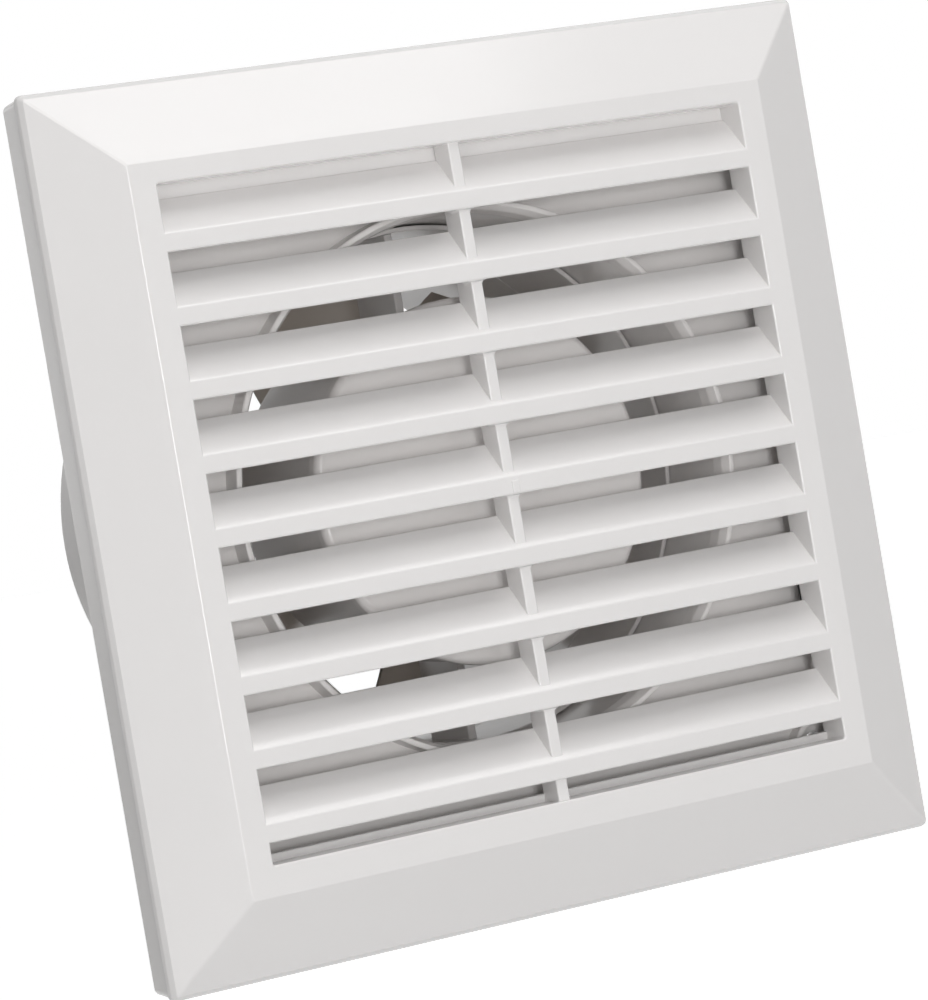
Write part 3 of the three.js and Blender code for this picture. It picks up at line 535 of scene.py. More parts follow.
grille = {
    "bezelWidth": 14.1 * mm,
    "flangeDepth": 2.1 * mm,
    "flangeInset": 0.9 * mm,
    "flangeEdge": 0.35 * mm,
    "flangeSwell": 1.1 * mm,
    "flangeLean": 0.2 * mm,
    "flangeSoft": 0.8 * mm,
    "edgeSoft": 0.5 * mm,
    "rearSoft": 0.12 * mm,
    "skirtSoft": 0.25 * mm,
    "crestSoft": 0.45 * mm,
    "skirtWall": 2.6 * mm,
    "bezelWall": 2.2 * mm,
    "underSoft": 0.4 * mm,
    "rimSoft": 0.7 * mm,
    "openingSoft": 0.35 * mm,
    "rimSide": 5.0 * mm,
    "rimTop": 3.8 * mm,
    "rimBottom": 5.4 * mm,
    "wall": 1.6 * mm,
    "wallDepth": 7.2 * mm,
    "wallSoft": 0.2 * mm,
    "cornerOuter": 1.3 * mm,
    "cornerInner": 0.5 * mm,
    "cornerSteps": 10,
    "firstLip": 8.8 * mm,
    "pitch": 13.0 * mm,
    "slats": 9,
    "slatRun": 6.8 * mm,
    "slatRise": 7.0 * mm,
    "slatWall": 1.6 * mm,
    "slatEdgeSoft": 0.6 * mm,
    "slatFootSoft": 0.2 * mm,
    "kneeSoft": 0.5 * mm,
    "slatBite": 0.3 * mm,
    "lip": 3.3 * mm,
    "lipSoft": 0.75 * mm,
    "lipFootSoft": 0.4 * mm,
    "lipBackSoft": 0.3 * mm,
    "mullion": (-1.7 * mm, 0.6 * mm),  # left and right
    "mullionSetback": 0.8 * mm,
    "mullionInset": 0.3 * mm,
    "mullionSoft": 0.3 * mm,
    "mullionFillet": 0.6 * mm,
    "filletSteps": 5,
    "filletBite": 0.01 * mm,
    "filletDeep": 3.0 * mm,
    # left, right, foot, top and depth of the gate's mark
    "gate": (-0.85 * mm, 0.65 * mm, -3.1 * mm, -0.8 * mm, 0.22 * mm),
    "gateRound": 0.98,
    "ledge": 1.45 * mm,
    "ledgeWall": 1.0 * mm,
    "ledgeSoft": 0.25 * mm,
    "webWall": 1.0 * mm,
    "webBite": 0.08 * mm,
    "webOverlap": 3.0 * mm,
    "webSoft": 0.05 * mm,
    "tongue": (12 * mm, 1.2 * mm, 35 * mm),  # width, wall and offset from the middle
    "tongueInset": 4.9 * mm,
    "tongueRoot": 0.4 * mm,
    "tongueReach": 2.1 * mm,
    "tongueSoft": 0.3 * mm,
}


def mullionFoot(s, front, lipFoot):
    # the small fillet where the mullion meets the underside of a lip
    left, right = s["mullion"]
    radius, steps, rear = s["mullionFillet"], s["filletSteps"], front + s["filletDeep"]
    loops = []
    for i in range(-1, steps + 1):
        # the first loop lies inside the lip, so that the foot grows out of it
        drop = radius * i / steps
        across = math.sqrt(max(radius ** 2 - (radius - max(drop, 0)) ** 2, 0))
        flare = radius - across - s["filletBite"]
        x0, x1, y0, z = left - flare, right + flare, front - flare, lipFoot - drop
        loops.append([Vector((x0, rear, z)), Vector((x0, y0, z)),
                      Vector((x1, y0, z)), Vector((x1, rear, z))])
    return loft("mullionFoot", loops, ring=False)


def grillePlaces(s):
    # places that follow from the solid's box and the settings
    half = grilleHigh.x
    skirtRear = grilleHigh.y - s["tongueReach"]
    rimFront = grilleLow.y
    crest = half - s["flangeInset"]
    rimHalf = crest - s["bezelWidth"]
    openX = rimHalf - s["rimSide"]
    top = rimHalf - s["rimTop"]
    bottom = s["rimBottom"] - rimHalf
    return {
        "half": half, "crest": crest, "rimHalf": rimHalf, "openX": openX,
        "top": top, "bottom": bottom,
        "low": bottom - s["wall"] / 2, "high": top + s["wall"] / 2,
        "skirtRear": skirtRear, "bezelFoot": skirtRear - s["flangeDepth"],
        "rimFront": rimFront, "wallRear": rimFront + s["wallDepth"],
        "slatRear": rimFront + s["slatRun"], "slatHalf": openX + s["slatBite"],
        "firstLip": top - s["firstLip"],
    }


def makeShell(s, at):
    # the section runs from the flange over the bezel and rim to the wall round the opening
    half, crest, rimHalf, openX = at["half"], at["crest"], at["rimHalf"], at["openX"]
    rimFront, skirtRear, bezelFoot = at["rimFront"], at["skirtRear"], at["bezelFoot"]
    openZ = (at["top"] - at["bottom"]) / 2
    lift = (at["top"] + at["bottom"]) / 2
    rise = bezelFoot - rimFront
    wallOuter = openX + s["wall"]
    slope = math.atan2(rise, s["bezelWidth"])
    under = rimFront + s["bezelWall"]
    inner = half - s["skirtWall"]
    innerFoot = bezelFoot + s["bezelWall"] / math.cos(slope)
    innerFoot -= (crest - inner) * rise / s["bezelWidth"]
    innerRim = rimHalf - s["bezelWall"] * math.tan(slope / 2)
    edge, lean, swell = s["flangeEdge"], s["flangeLean"], s["flangeSwell"]
    profile = filleted([
        (half, skirtRear, s["rearSoft"]),
        (half, skirtRear - edge, s["edgeSoft"]),
        (half - lean, skirtRear - swell, s["flangeSoft"]),
        (crest, bezelFoot, s["crestSoft"]),
        (rimHalf, rimFront, s["rimSoft"]),
        (openX, rimFront, s["openingSoft"]),
        (openX, at["wallRear"], s["wallSoft"]),
        (wallOuter, at["wallRear"], s["wallSoft"]),
        (wallOuter, under, s["underSoft"]),
        (innerRim, under, s["underSoft"]),
        (inner, innerFoot, s["edgeSoft"]),
        (inner, skirtRear, s["skirtSoft"]),
    ])
    loops = []
    for reach, y in profile:
        share = min(max((rimHalf - reach) / (rimHalf - wallOuter), 0.0), 1.0)
        beyond = max(reach - crest, 0.0) / (half - crest)
        corner = s["cornerInner"] + (s["cornerOuter"] - s["cornerInner"]) * beyond
        tall = reach + (openZ - openX) * share
        loops.append(squareLoop(reach, tall, corner, y, lift * share, s["cornerSteps"]))
    return loft("grilleShell", loops)


def makeSlats(s, at):
    rimFront, slatRear, firstLip = at["rimFront"], at["slatRear"], at["firstLip"]
    steep = math.hypot(s["slatRun"], s["slatRise"])
    shift = s["slatWall"] * steep / s["slatRun"]
    back = rimFront + s["slatWall"]
    knee = firstLip - shift + s["slatWall"] * s["slatRise"] / s["slatRun"]
    section = filleted([
        (rimFront, firstLip - s["lip"], s["lipFootSoft"]),
        (back, firstLip - s["lip"], s["lipBackSoft"]),
        (back, knee, s["kneeSoft"]),
        (slatRear, firstLip + s["slatRise"] - shift, s["slatFootSoft"]),
        (slatRear, firstLip + s["slatRise"], s["slatEdgeSoft"]),
        (rimFront, firstLip, s["lipSoft"]),
    ])
    slat = extrudeAcross("slat", section, -at["slatHalf"], at["slatHalf"])
    return rowOf(slat, s["slats"], (0, 0, -s["pitch"]), grilleWhite)


def makeMullion(s, at):
    left, right = s["mullion"]
    front = at["rimFront"] + s["mullionSetback"]
    rear = at["slatRear"] - s["mullionInset"]
    mullion = softBox("mullion", (left, front, at["low"]), (right, rear, at["high"]),
                      s["mullionSoft"])
    foot = mullionFoot(s, front, at["firstLip"] - s["lip"])
    feet = rowOf(foot, s["slats"] - 1, (0, 0, -s["pitch"]), grilleWhite)
    return [mullion, feet]


def makeGateMark(s, at):
    left, right, low, high, depth = s["gate"]
    rimFront = at["rimFront"]
    return softBox("gate", (left, rimFront - depth, low), (right, rimFront + depth, high),
                   depth * s["gateRound"], 4)


def makeWebAndLedge(s, at):
    # the web closes the gap over the first slat, and the ledge lies along the opening's foot
    reach, wallRear = at["slatHalf"], at["wallRear"]
    webFront = at["slatRear"] - s["webBite"]
    webFoot = at["firstLip"] + s["slatRise"] - s["webOverlap"]
    web = softBox("web", (-reach, webFront, webFoot),
                  (reach, webFront + s["webWall"], at["high"]), s["webSoft"], 1)
    ledge = softBox("ledge", (-reach, wallRear - s["ledgeWall"], at["low"]),
                    (reach, wallRear, at["bottom"] + s["ledge"]), s["ledgeSoft"])
    return [web, ledge]


def makeTongues(s, at):
    wide, thick, offset = s["tongue"]
    tongueX = at["half"] - s["tongueInset"]
    front, rear = at["bezelFoot"] - s["tongueRoot"], at["skirtRear"] + s["tongueReach"]
    tongues = []
    for side in (-1, 1):
        middle = side * offset
        tongue = softBox("tongue", (tongueX - thick, front, middle - wide / 2),
                         (tongueX, rear, middle + wide / 2), s["tongueSoft"])
        tongues.append(ringOf(tongue, 4, 0.0, grilleWhite))
    return tongues


def makeGrille(s):
    at = grillePlaces(s)
    parts = [makeShell(s, at), makeSlats(s, at)]
    parts += makeMullion(s, at) + [makeGateMark(s, at)]
    parts += makeWebAndLedge(s, at) + makeTongues(s, at)
    return finished(merged("grilleMoulding", parts), grilleWhite, "grille",
                    ["front_grille"])


makeGrille(grille)
print("stage: grille made")


# base frame with its duct

base = {
    "fineSoft": 0.1 * mm,
    "smallSoft": 0.2 * mm,
    "edgeSoft": 0.3 * mm,
    "rearSoft": 0.4 * mm,
    "corner": 1.4 * mm,
    "innerCorner": 0.6 * mm,
    "depth": 7.1 * mm,
    "draft": 0.45 * mm,
    "wall": 1.6 * mm,
    "upstandHalf": 76.6 * mm,
    "upstandWall": 1.6 * mm,
    "upstandFront": -8.0 * mm,
    "floorFront": -3.7 * mm,
    "floorRear": -1.7 * mm,
    "bossHalf": 60.0 * mm,
    "bossRadius": 5.0 * mm,
    "bossFront": -6.7 * mm,
    "bossSoft": 0.5 * mm,
    "bossSteps": 48,
    "screwHole": 2.2 * mm,
    "screwSink": 3.9 * mm,
    "sinkRise": 1.0 * mm,
    "cutHalf": 10.0 * mm,  # half the length of a drill that goes right through
    "cutPast": 1.0 * mm,
    "ductSteps": 192,
    "throat": 47.6 * mm,
    "bore": 48.8 * mm,
    "ductOuter": 50.2 * mm,
    "tipOuter": 49.7 * mm,
    "ductBite": 0.7 * mm,
    "tipInnerSoft": 0.5 * mm,
    "tipSoft": 0.8 * mm,
    "lipInside": (0.35 * mm, 1.6 * mm),
    "lipRound": 2.0 * mm,
    "flareRound": 1.5 * mm,
    "collarInner": 50.0 * mm,
    "collarOuter": 51.0 * mm,
    "collarSoft": 0.35 * mm,
    "flareEnd": -4.4 * mm,
    "shoulder": 32.8 * mm,
    "ringRib": (52.7 * mm, 54.7 * mm),
    "rib": 1.6 * mm,
    "ribBite": 1.0 * mm,
    "ribSoft": 0.15 * mm,
    "ribReach": 0.9,  # of the boss's radius, where an angled rib ends
    "notchHalf": 1.85 * mm,
    "entry": (67.8 * mm, -53.0 * mm, 3.4 * mm),  # x, z and radius of the cable's hole
    "postRadius": 2.6 * mm,
    "postBore": 1.4 * mm,
    "postRoot": 1.0 * mm,
    "postSteps": 32,
    "postHeight": 3.2 * mm,
    "postPlaces": [(65.2 * mm, -46.0 * mm), (70.4 * mm, -46.0 * mm)],
    "snapAngles": (62, 242),  # degrees
    "snapRear": 11.1 * mm,
    "snapLength": 3.0 * mm,
    "snapFlat": 0.6 * mm,
    "snapStep": 0.8 * mm,
    "snapNose": 0.1 * mm,
    "snapHalf": 4.0 * mm,
}


def makeTray(s):
    half = baseHigh.x
    rearHalf = half - s["draft"]
    rearInner = rearHalf - s["wall"]
    inner = s["upstandHalf"] - s["upstandWall"]
    profile = filleted([
        (rearHalf, 0.0, s["rearSoft"]),
        (half, -s["depth"], s["edgeSoft"]),
        (s["upstandHalf"], -s["depth"], s["fineSoft"]),
        (s["upstandHalf"], s["upstandFront"], s["edgeSoft"]),
        (inner, s["upstandFront"], s["edgeSoft"]),
        (inner, s["floorRear"], s["fineSoft"]),
        (rearInner, s["floorRear"], s["edgeSoft"]),
        (rearInner, 0.0, s["edgeSoft"]),
    ])
    loops = []
    for reach, y in profile:
        share = (reach - inner) / (half - inner)
        corner = s["innerCorner"] + (s["corner"] - s["innerCorner"]) * share
        loops.append(squareLoop(reach, reach, corner, y))
    return loft("trayRim", loops)


def cylinder(name, x, z, radius, y0, y1, steps=48):
    shift = Vector((x, 0, z))
    loops = [[point + shift for point in circleLoop(radius, y, steps)] for y in (y0, y1)]
    return loft(name, loops, ring=False)


def makeFloor(s):
    inner = s["upstandHalf"] - s["upstandWall"] / 2
    floor = softBox("floor", (-inner, s["floorFront"], -inner),
                    (inner, s["floorRear"], inner), 0)
    x, z, radius = s["entry"]
    corners = [(a, b) for a in (-1, 1) for b in (-1, 1)]
    cut = s["cutHalf"]
    opening = s["bore"] + s["ductBite"]
    tools = [cylinder("bore", 0, 0, opening, -cut, cut, s["ductSteps"])]
    tools.append(cylinder("entry", x, z, radius, -cut, cut))
    for a, b in corners:
        tools.append(cylinder("hole", a * s["bossHalf"], b * s["bossHalf"],
                              s["screwHole"], -cut, cut))
    return cutBy(floor, tools)


def makeBoss(s):
    sinkFloor = s["floorFront"] - s["sinkRise"]
    profile = filleted([
        (s["screwHole"], 0.0, s["fineSoft"]),
        (s["bossRadius"], 0.0, s["smallSoft"]),
        (s["bossRadius"], s["bossFront"], s["bossSoft"]),
        (s["screwSink"], s["bossFront"], s["smallSoft"]),
        (s["screwSink"], sinkFloor, s["smallSoft"]),
        (s["screwHole"], sinkFloor, s["fineSoft"]),
    ])
    boss = revolve("boss", profile, s["bossSteps"])
    boss.data.transform(Matrix.Translation((s["bossHalf"], 0, s["bossHalf"])))
    return ringOf(boss, 4, 0.0, frameWhite)


def makeDuct(s):
    # from the collar's lip down the flare, along the bore to the tip and back outside
    lipX, lipY = s["lipInside"]
    profile = filleted([
        (s["collarInner"], baseLow.y, s["collarSoft"]),
        (s["bore"] + lipX, baseLow.y + lipY, s["lipRound"]),
        (s["bore"], s["flareEnd"], s["flareRound"]),
        (s["bore"], s["shoulder"], 0.0),
        (s["throat"], s["shoulder"], s["smallSoft"]),
        (s["throat"], baseHigh.y, s["tipInnerSoft"]),
        (s["tipOuter"], baseHigh.y, s["tipSoft"]),
        (s["ductOuter"], s["floorRear"], 0.0),
        (s["collarOuter"], s["floorRear"], 0.0),
        (s["collarOuter"], baseLow.y, s["collarSoft"]),
    ])
    duct = revolve("duct", profile, s["ductSteps"])
    past = s["cutPast"]
    notch = softBox("notch", (s["throat"], baseLow.y - past, -s["notchHalf"]),
                    (s["collarOuter"] + past, s["floorFront"], s["notchHalf"]), 0)
    return cutBy(duct, [notch])


def makeRibs(s):
    inner, outer = s["ringRib"]
    middle = (s["floorFront"] + s["floorRear"]) / 2
    ring = revolve("ringRib", filleted([
        (inner, middle, 0), (inner, 0.0, s["smallSoft"]),
        (outer, 0.0, s["smallSoft"]), (outer, middle, 0),
    ]), s["ductSteps"])
    thick, start = s["rib"] / 2, outer - s["ribBite"]
    toRim = baseHigh.x - s["draft"] - s["wall"] / 2
    toBoss = s["bossHalf"] * math.sqrt(2) - s["bossRadius"] * s["ribReach"]
    ribs = [ring]
    for name, end, turn in (("straightRib", toRim, 0.0), ("angledRib", toBoss, math.pi / 4)):
        rib = softBox(name, (start, middle, -thick), (end, 0, thick), s["ribSoft"], 2)
        ribs.append(ringOf(rib, 4, turn, frameWhite))
    return ribs


def makePosts(s):
    # the clamp's two screw posts
    posts = []
    foot, top = s["floorRear"] - s["postRoot"], s["floorFront"] - s["postHeight"]
    for x, z in s["postPlaces"]:
        profile = filleted([
            (s["postBore"], foot, 0),
            (s["postRadius"], foot, 0),
            (s["postRadius"], top, s["edgeSoft"]),
            (s["postBore"], top, s["fineSoft"]),
        ])
        post = revolve("post", profile, s["postSteps"])
        post.data.transform(Matrix.Translation((x, 0, z)))
        posts.append(post)
    return posts


def makeSnaps(s):
    # small wedges inside the bore that hold the motor carrier's hoop
    snaps = []
    root, tip = s["bore"] + s["ductBite"], s["bore"] - s["snapStep"]
    rear = s["snapRear"]
    front, ramp = rear - s["snapLength"], rear - s["snapFlat"]
    section = [(root, front), (s["bore"] - s["snapNose"], front), (tip, ramp), (tip, rear),
               (root, rear)]
    for degrees in s["snapAngles"]:
        loops = [[Vector((x, y, z)) for x, y in section]
                 for z in (-s["snapHalf"], s["snapHalf"])]
        snap = loft("snap", loops, ring=False)
        snap.data.transform(Matrix.Rotation(math.radians(degrees), 4, "Y"))
        snaps.append(snap)
    return snaps


def makeBase(s):
    parts = [makeTray(s), makeFloor(s), makeBoss(s), makeDuct(s)]
    parts += makeRibs(s) + makePosts(s) + makeSnaps(s)
    return finished(merged("baseMoulding", parts), frameWhite, "housing",
                    ["base_frame"])


makeBase(base)
print("stage: base made")


# motor carrier and cap

carrier = {
    "steps": 144,
    "hoopSteps": 192,
    "smallSoft": 0.2 * mm,
    "edgeSoft": 0.3 * mm,
    "cutPast": 1.0 * mm,
    "throat": 47.6 * mm,
    "hoopFront": 11.4 * mm,
    "struts": 4,
    "strutWall": 1.7 * mm,
    "strutDepth": 15.6 * mm,
    "cupFrontRadius": 33.2 * mm,
    "cupRearRadius": 32.0 * mm,
    "cupWall": 1.8 * mm,
    "cupFloor": 2.0 * mm,
    "cupRound": 1.2 * mm,
    "cupInnerRound": 0.8 * mm,
    "noseHole": 3.5 * mm,
    "doorInner": 25.0 * mm,
    "doorOuter": 36.0 * mm,
    "channelHalf": 1.85 * mm,
    "channelWall": 0.9 * mm,
    "channelDepth": 3.4 * mm,
    "channelSoft": 0.25 * mm,
    "pillar": (16.9 * mm, 3.6 * mm, 27.6 * mm),  # offset, radius and front
    "pillarRoot": 1.0 * mm,
}


def makeChannel(s, inside, outside):
    # the deep strut at the right, with the groove that the leads lie in
    front, rear = carrierLow.y, carrierHigh.y
    width, deep = s["channelHalf"], front + s["channelDepth"]
    wide = width + s["channelWall"]
    channel = softBox("channel", (inside, front, -wide), (outside, rear, wide),
                      s["channelSoft"])
    groove = softBox("groove", (s["doorInner"], front - s["cutPast"], -width),
                     (outside + s["cutPast"], deep, width), 0)
    return cutBy(channel, [groove])


def makeCarrier(s):
    front, rear = carrierLow.y, carrierHigh.y
    hoopOuter = carrierHigh.x
    soft, edge = s["smallSoft"], s["edgeSoft"]
    hoop = revolve("hoop", filleted([
        (s["throat"], s["hoopFront"], edge),
        (s["throat"], rear, soft),
        (hoopOuter, rear, soft),
        (hoopOuter, s["hoopFront"], edge),
    ]), s["hoopSteps"])
    floor = rear - s["cupFloor"]
    cup = revolve("cup", filleted([
        (s["cupFrontRadius"] - s["cupWall"], front, soft),
        (s["cupFrontRadius"], front, soft),
        (s["cupRearRadius"], rear, s["cupRound"]),
        (s["noseHole"], rear, soft),
        (s["noseHole"], floor, soft),
        (s["cupRearRadius"] - s["cupWall"], floor, s["cupInnerRound"]),
    ]), s["steps"])
    width, deep = s["channelHalf"], front + s["channelDepth"]
    doorway = softBox("doorway", (s["doorInner"], front - s["cutPast"], -width),
                      (s["doorOuter"], deep, width), 0)
    cutBy(cup, [doorway])
    inside = s["cupRearRadius"] - s["cupWall"] / 2
    outside = (s["throat"] + hoopOuter) / 2
    thick = s["strutWall"] / 2
    strut = softBox("strut", (inside, rear - s["strutDepth"], -thick),
                    (outside, rear, thick), edge)
    struts = ringOf(strut, s["struts"], 0.0, frameWhite)
    parts = [hoop, cup, struts, makeChannel(s, inside, outside)]
    offset, radius, pillarFront = s["pillar"]
    for x in (-offset, offset):
        parts.append(cylinder("pillar", x, 0, radius, pillarFront, rear - s["pillarRoot"]))
    return finished(merged("carrierMoulding", parts), frameWhite, "housing",
                    ["motor_carrier"])


cap = {
    "steps": 144,
    "edge": 1.5 * mm,
    "edgeSteps": 8,
    "backSoft": 0.2 * mm,
    "seatSoft": 0.1 * mm,
    "skirt": 3.2 * mm,
    "wall": 2.0 * mm,
    "plugOuter": 31.1 * mm,
    "plugSoft": 0.3 * mm,
    "doorHalf": 1.85 * mm,
    "doorDepth": 5.0 * mm,
    "cutPast": 1.0 * mm,
}


def makeCap(s):
    radius, front, plugRear = capHigh.x, capLow.y, capHigh.y
    rear = front + s["skirt"]
    plugInner, floor, edge = s["plugOuter"] - s["wall"], front + s["wall"], s["plugSoft"]
    disc = revolve("disc", filleted([
        (0.0, front, 0),
        (radius, front, s["edge"]),
        (radius, rear, s["backSoft"]),
        (s["plugOuter"], rear, s["seatSoft"]),
        (s["plugOuter"], plugRear, edge),
        (plugInner, plugRear, edge),
        (plugInner, floor, edge),
        (0.0, floor, 0),
    ], closed=False, steps=s["edgeSteps"]), s["steps"], closed=False)
    door = softBox("door", (s["plugOuter"] - s["doorDepth"], rear, -s["doorHalf"]),
                   (s["plugOuter"] + s["cutPast"], plugRear + s["cutPast"], s["doorHalf"]), 0)
    cutBy(disc, [door])
    return finished(disc, podWhite, "housing", ["motor_cap"])


makeCarrier(carrier)
makeCap(cap)
print("stage: carrier and cap made")


# impeller

wheel = {
    "blades": 6,
    "hubRadius": 20.0 * mm,
    "hubWall": 1.6 * mm,
    "hubRound": 3.0 * mm,
    "boss": 4.6 * mm,
    "rootChord": 20.0 * mm,
    "tipChord": 35.0 * mm,
    "rootPitch": 48,  # degrees, as tipPitch, sweep and turn are
    "tipPitch": 27,
    "bladeWall": 1.8 * mm,
    "edgeShare": 0.3,  # of the blade's wall, left at its edges
    "fullness": 0.7,
    "camber": 0.09,
    "sweep": 12,
    "turn": 44,
    "bore": 2.1 * mm,
    "steps": 96,
    "smallSoft": 0.2 * mm,
    "edgeSoft": 0.3 * mm,
    "bossSoft": 0.4 * mm,
    "cupRound": 2.0 * mm,
    "ribShare": 0.4,  # of the hub's depth
    "ribBite": 0.5 * mm,
    "stations": 12,
    "chordSteps": 14,
}


def bladeLoop(s, radius, tip, middle):
    share = (radius - s["hubRadius"]) / (tip - s["hubRadius"])
    chord = s["rootChord"] + (s["tipChord"] - s["rootChord"]) * share
    pitch = math.radians(s["rootPitch"] + (s["tipPitch"] - s["rootPitch"]) * share)
    sweep = math.radians(s["sweep"] * share)
    upper, lower = [], []
    for i in range(s["chordSteps"] + 1):
        along = i / s["chordSteps"]
        bow = -s["camber"] * chord * math.sin(math.pi * along)
        full = math.sin(math.pi * along) ** s["fullness"]
        thick = s["bladeWall"] / 2 * (s["edgeShare"] + (1 - s["edgeShare"]) * full)
        for side, row in ((1, upper), (-1, lower)):
            ahead, off = (along - 0.5) * chord, bow + thick * side
            around = ahead * math.cos(pitch) - off * math.sin(pitch)
            back = ahead * math.sin(pitch) + off * math.cos(pitch)
            angle = sweep - around / radius
            row.append(Vector((radius * math.sin(angle), middle + back,
                               radius * math.cos(angle))))
    return upper + lower[::-1]


def bladeMesh(s, tip, middle):
    root = s["hubRadius"] - s["hubWall"] / 2
    radii = [root + (tip - root) * i / s["stations"] for i in range(s["stations"] + 1)]
    loops = [bladeLoop(s, radius, tip, middle) for radius in radii]
    bm = bmesh.new()
    rows = bridged(bm, loops)
    count = len(rows[0])
    # both ends are closed by a strip of faces from the upper side to the lower
    for row in (rows[0], rows[-1]):
        for j in range(count // 2 - 1):
            bm.faces.new((row[j], row[j + 1], row[count - 2 - j], row[count - 1 - j]))
    return toObject("blade", bm)


def makeHub(s):
    front, rear = wheelLow.y, wheelHigh.y
    halfway, floor = (front + rear) / 2, rear - s["hubWall"]
    inner = s["hubRadius"] - s["hubWall"]
    cup = revolve("hubCup", filleted([
        (inner, front, s["edgeSoft"]),
        (s["hubRadius"], front, s["edgeSoft"]),
        (s["hubRadius"], rear, s["hubRound"]),
        (s["bore"], rear, s["smallSoft"]),
        (s["bore"], halfway, s["smallSoft"]),
        (s["boss"], halfway, s["bossSoft"]),
        (s["boss"], floor, s["bossSoft"]),
        (inner, floor, s["cupRound"]),
    ]), s["steps"])
    deep, thick = (rear - front) * s["ribShare"], s["hubWall"] / 2
    rib = softBox("hubRib", (s["boss"] - s["ribBite"], rear - deep, -thick),
                  (inner + thick, rear - thick, thick), s["smallSoft"], 2)
    return [cup, ringOf(rib, s["blades"], 0.0, wheelPaintedShade)]


def makeWheel(s):
    tip = max(wheelHigh.x, wheelHigh.z)
    blade = bladeMesh(s, tip, (wheelLow.y + wheelHigh.y) / 2)
    # blades, ribs and hub all take the impeller's painted shade grey
    blades = ringOf(blade, s["blades"], math.radians(s["turn"]), wheelPaintedShade)
    return finished(merged("impellerMoulding", [blades] + makeHub(s)), wheelPaintedShade, "spinner",
                    ["impeller"])


makeWheel(wheel)
print("stage: impeller made")


# finishes of the solids that stay as they are

nodeFinish = {
    "stator_core": coreIron, "core_bar": coreIron, "rotor": coreIron,
    "coil_bobbin": blackNylon, "terminal_block": blackNylon, "coil_winding": copperWire,
    "shading_ring_right": copperWire, "shading_ring_left": copperWire,
    "front_bracket": castZinc, "rear_bracket": castZinc,
    "front_bush": bronze, "rear_bush": bronze,
    "terminal_screw_live": bronze, "terminal_screw_neutral": bronze,
    "motor_screw_left": brightSteel, "motor_screw_right": brightSteel,
    "motor_shaft": brightSteel, "impeller_clip": brightSteel,
    "clamp_screw_left": brightSteel, "clamp_screw_right": brightSteel,
    "front_thrust_washer": fibreRed, "rear_thrust_washer": fibreRed,
    "cable_clamp": frameWhite, "lead_live": brownSleeve, "lead_neutral": blueSleeve,
}
for nodeName, material in nodeFinish.items():
    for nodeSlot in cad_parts[nodeName].material_slots:
        nodeSlot.material = material
print("stage: solids finished")


# studio

studio = {
    "ambient": 0.05,
    "lamps": [
        # name, place, aim, width, height, power
        ("overheadPanel", (0.08, -0.47, 0.9), (0.08, -0.47, 0.0), 0.96, 0.9, 6.8),
        ("frontPanel", (-0.42, -1.5, 0.02), (0, 0, 0), 0.36, 0.3, 5.5),
        ("raisedPanel", (-0.42, -1.5, 0.28), (0, 0, 0), 0.36, 0.3, 1.0),
        ("highPanel", (-0.35, -1.3, 0.75), (0, 0, 0), 0.6, 0.4, 2.2),
        ("lowPanel", (-0.3, -1.2, -0.15), (0, 0, 0), 0.7, 0.14, 0.9),
        ("leftPanel", (-1.1, -0.9, 0.05), (0, 0, 0), 0.5, 0.5, 1.0),
        ("rearPanel", (-0.1, 1.2, 0.15), (0, 0.05, 0), 0.4, 0.4, 1.2),
    ],
    "floorDrop": 0.16,
    "floorHalf": 8,
    "floorColour": (0.82, 0.82, 0.82, 1),
    "floorRoughness": 0.8,
    "floorGlow": (0.86, 0.86, 0.86, 1),
}


def makeLamps(settings):
    for name, place, aim, width, height, power in settings["lamps"]:
        data = bpy.data.lights.new(name, "AREA")
        data.shape = "RECTANGLE"
        data.size = width
        data.size_y = height
        data.energy = power
        obj = bpy.data.objects.new(name, data)
        bpy.context.collection.objects.link(obj)
        obj.location = place
        obj.rotation_mode = "QUATERNION"
        obj.rotation_quaternion = (Vector(aim) - Vector(place)).to_track_quat("-Z", "Y")


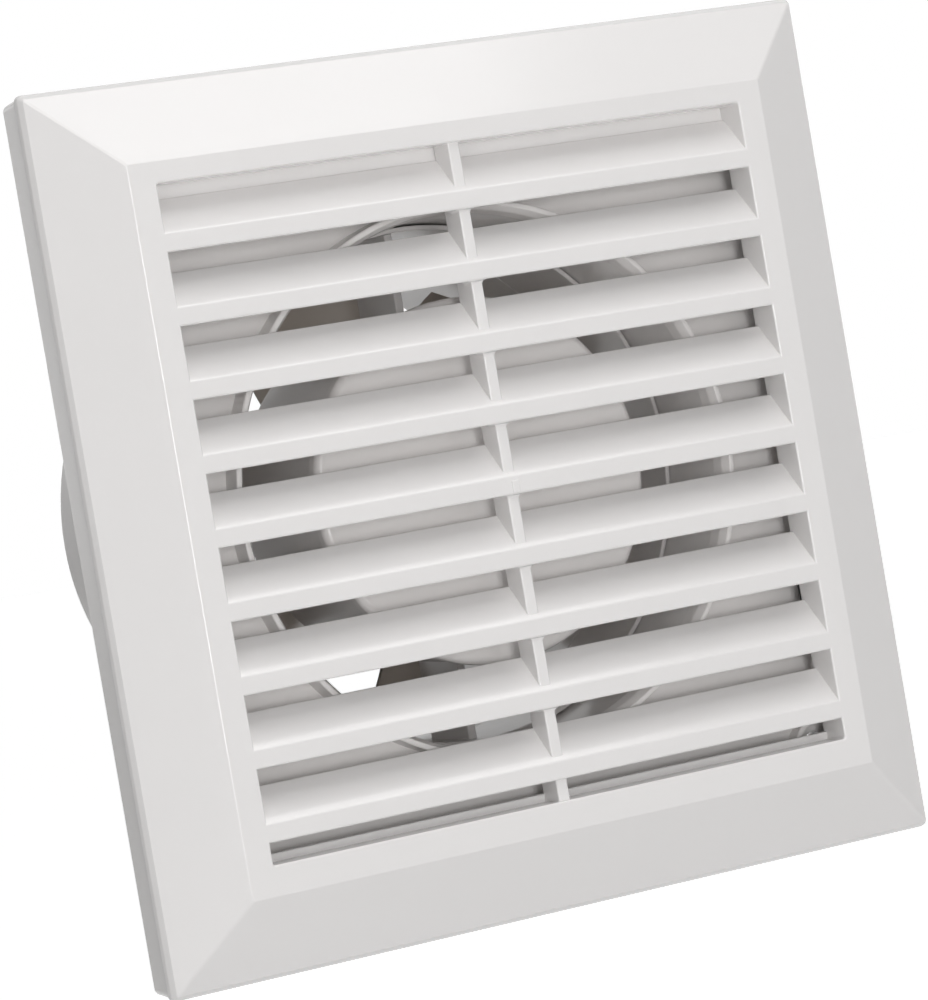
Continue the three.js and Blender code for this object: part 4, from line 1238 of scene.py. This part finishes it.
def seenMask(tree):
    # 1 where the camera, a reflection or a refraction looks straight at it
    path = tree.nodes.new("ShaderNodeLightPath")
    direct = mathOn(tree, "MAXIMUM", path.outputs["Is Camera Ray"],
                    path.outputs["Is Glossy Ray"])
    return mathOn(tree, "MAXIMUM", direct, path.outputs["Is Transmission Ray"])


def makeWorld(settings):
    world = bpy.data.worlds.new("paleStudio")
    bpy.context.scene.world = world
    world.use_nodes = True
    tree = world.node_tree
    out = tree.nodes["World Output"]
    dim = tree.nodes["Background"]
    dim.inputs["Color"].default_value = (1, 1, 1, 1)
    dim.inputs["Strength"].default_value = settings["ambient"]
    bright = tree.nodes.new("ShaderNodeBackground")
    bright.inputs["Color"].default_value = (1, 1, 1, 1)
    bright.inputs["Strength"].default_value = 1.0
    mix = tree.nodes.new("ShaderNodeMixShader")
    tree.links.new(seenMask(tree), mix.inputs[0])
    tree.links.new(dim.outputs[0], mix.inputs[1])
    tree.links.new(bright.outputs[0], mix.inputs[2])
    tree.links.new(mix.outputs[0], out.inputs["Surface"])


def makeFloorPlane(settings):
    level = grilleLow.z - settings["floorDrop"]
    bm = bmesh.new()
    for x, y in ((-1, -1), (1, -1), (1, 1), (-1, 1)):
        bm.verts.new((x * settings["floorHalf"], y * settings["floorHalf"], level))
    bm.faces.new(bm.verts)
    plane = toObject("floorPlane", bm)
    material = bpy.data.materials.new("paleFloor")
    material.use_nodes = True
    tree = material.node_tree
    surface = tree.nodes["Principled BSDF"]
    surface.inputs["Base Color"].default_value = settings["floorColour"]
    surface.inputs["Roughness"].default_value = settings["floorRoughness"]
    glow = tree.nodes.new("ShaderNodeEmission")
    tree.links.new(seenMask(tree), glow.inputs["Strength"])
    both = tree.nodes.new("ShaderNodeAddShader")
    tree.links.new(surface.outputs[0], both.inputs[0])
    tree.links.new(glow.outputs[0], both.inputs[1])
    glow.inputs["Color"].default_value = settings["floorGlow"]
    tree.links.new(both.outputs[0], tree.nodes["Material Output"].inputs["Surface"])
    plane.data.materials.append(material)


makeLamps(studio)
makeWorld(studio)
makeFloorPlane(studio)
bpy.context.scene.view_settings.view_transform = "Standard"
print("stage: studio made")
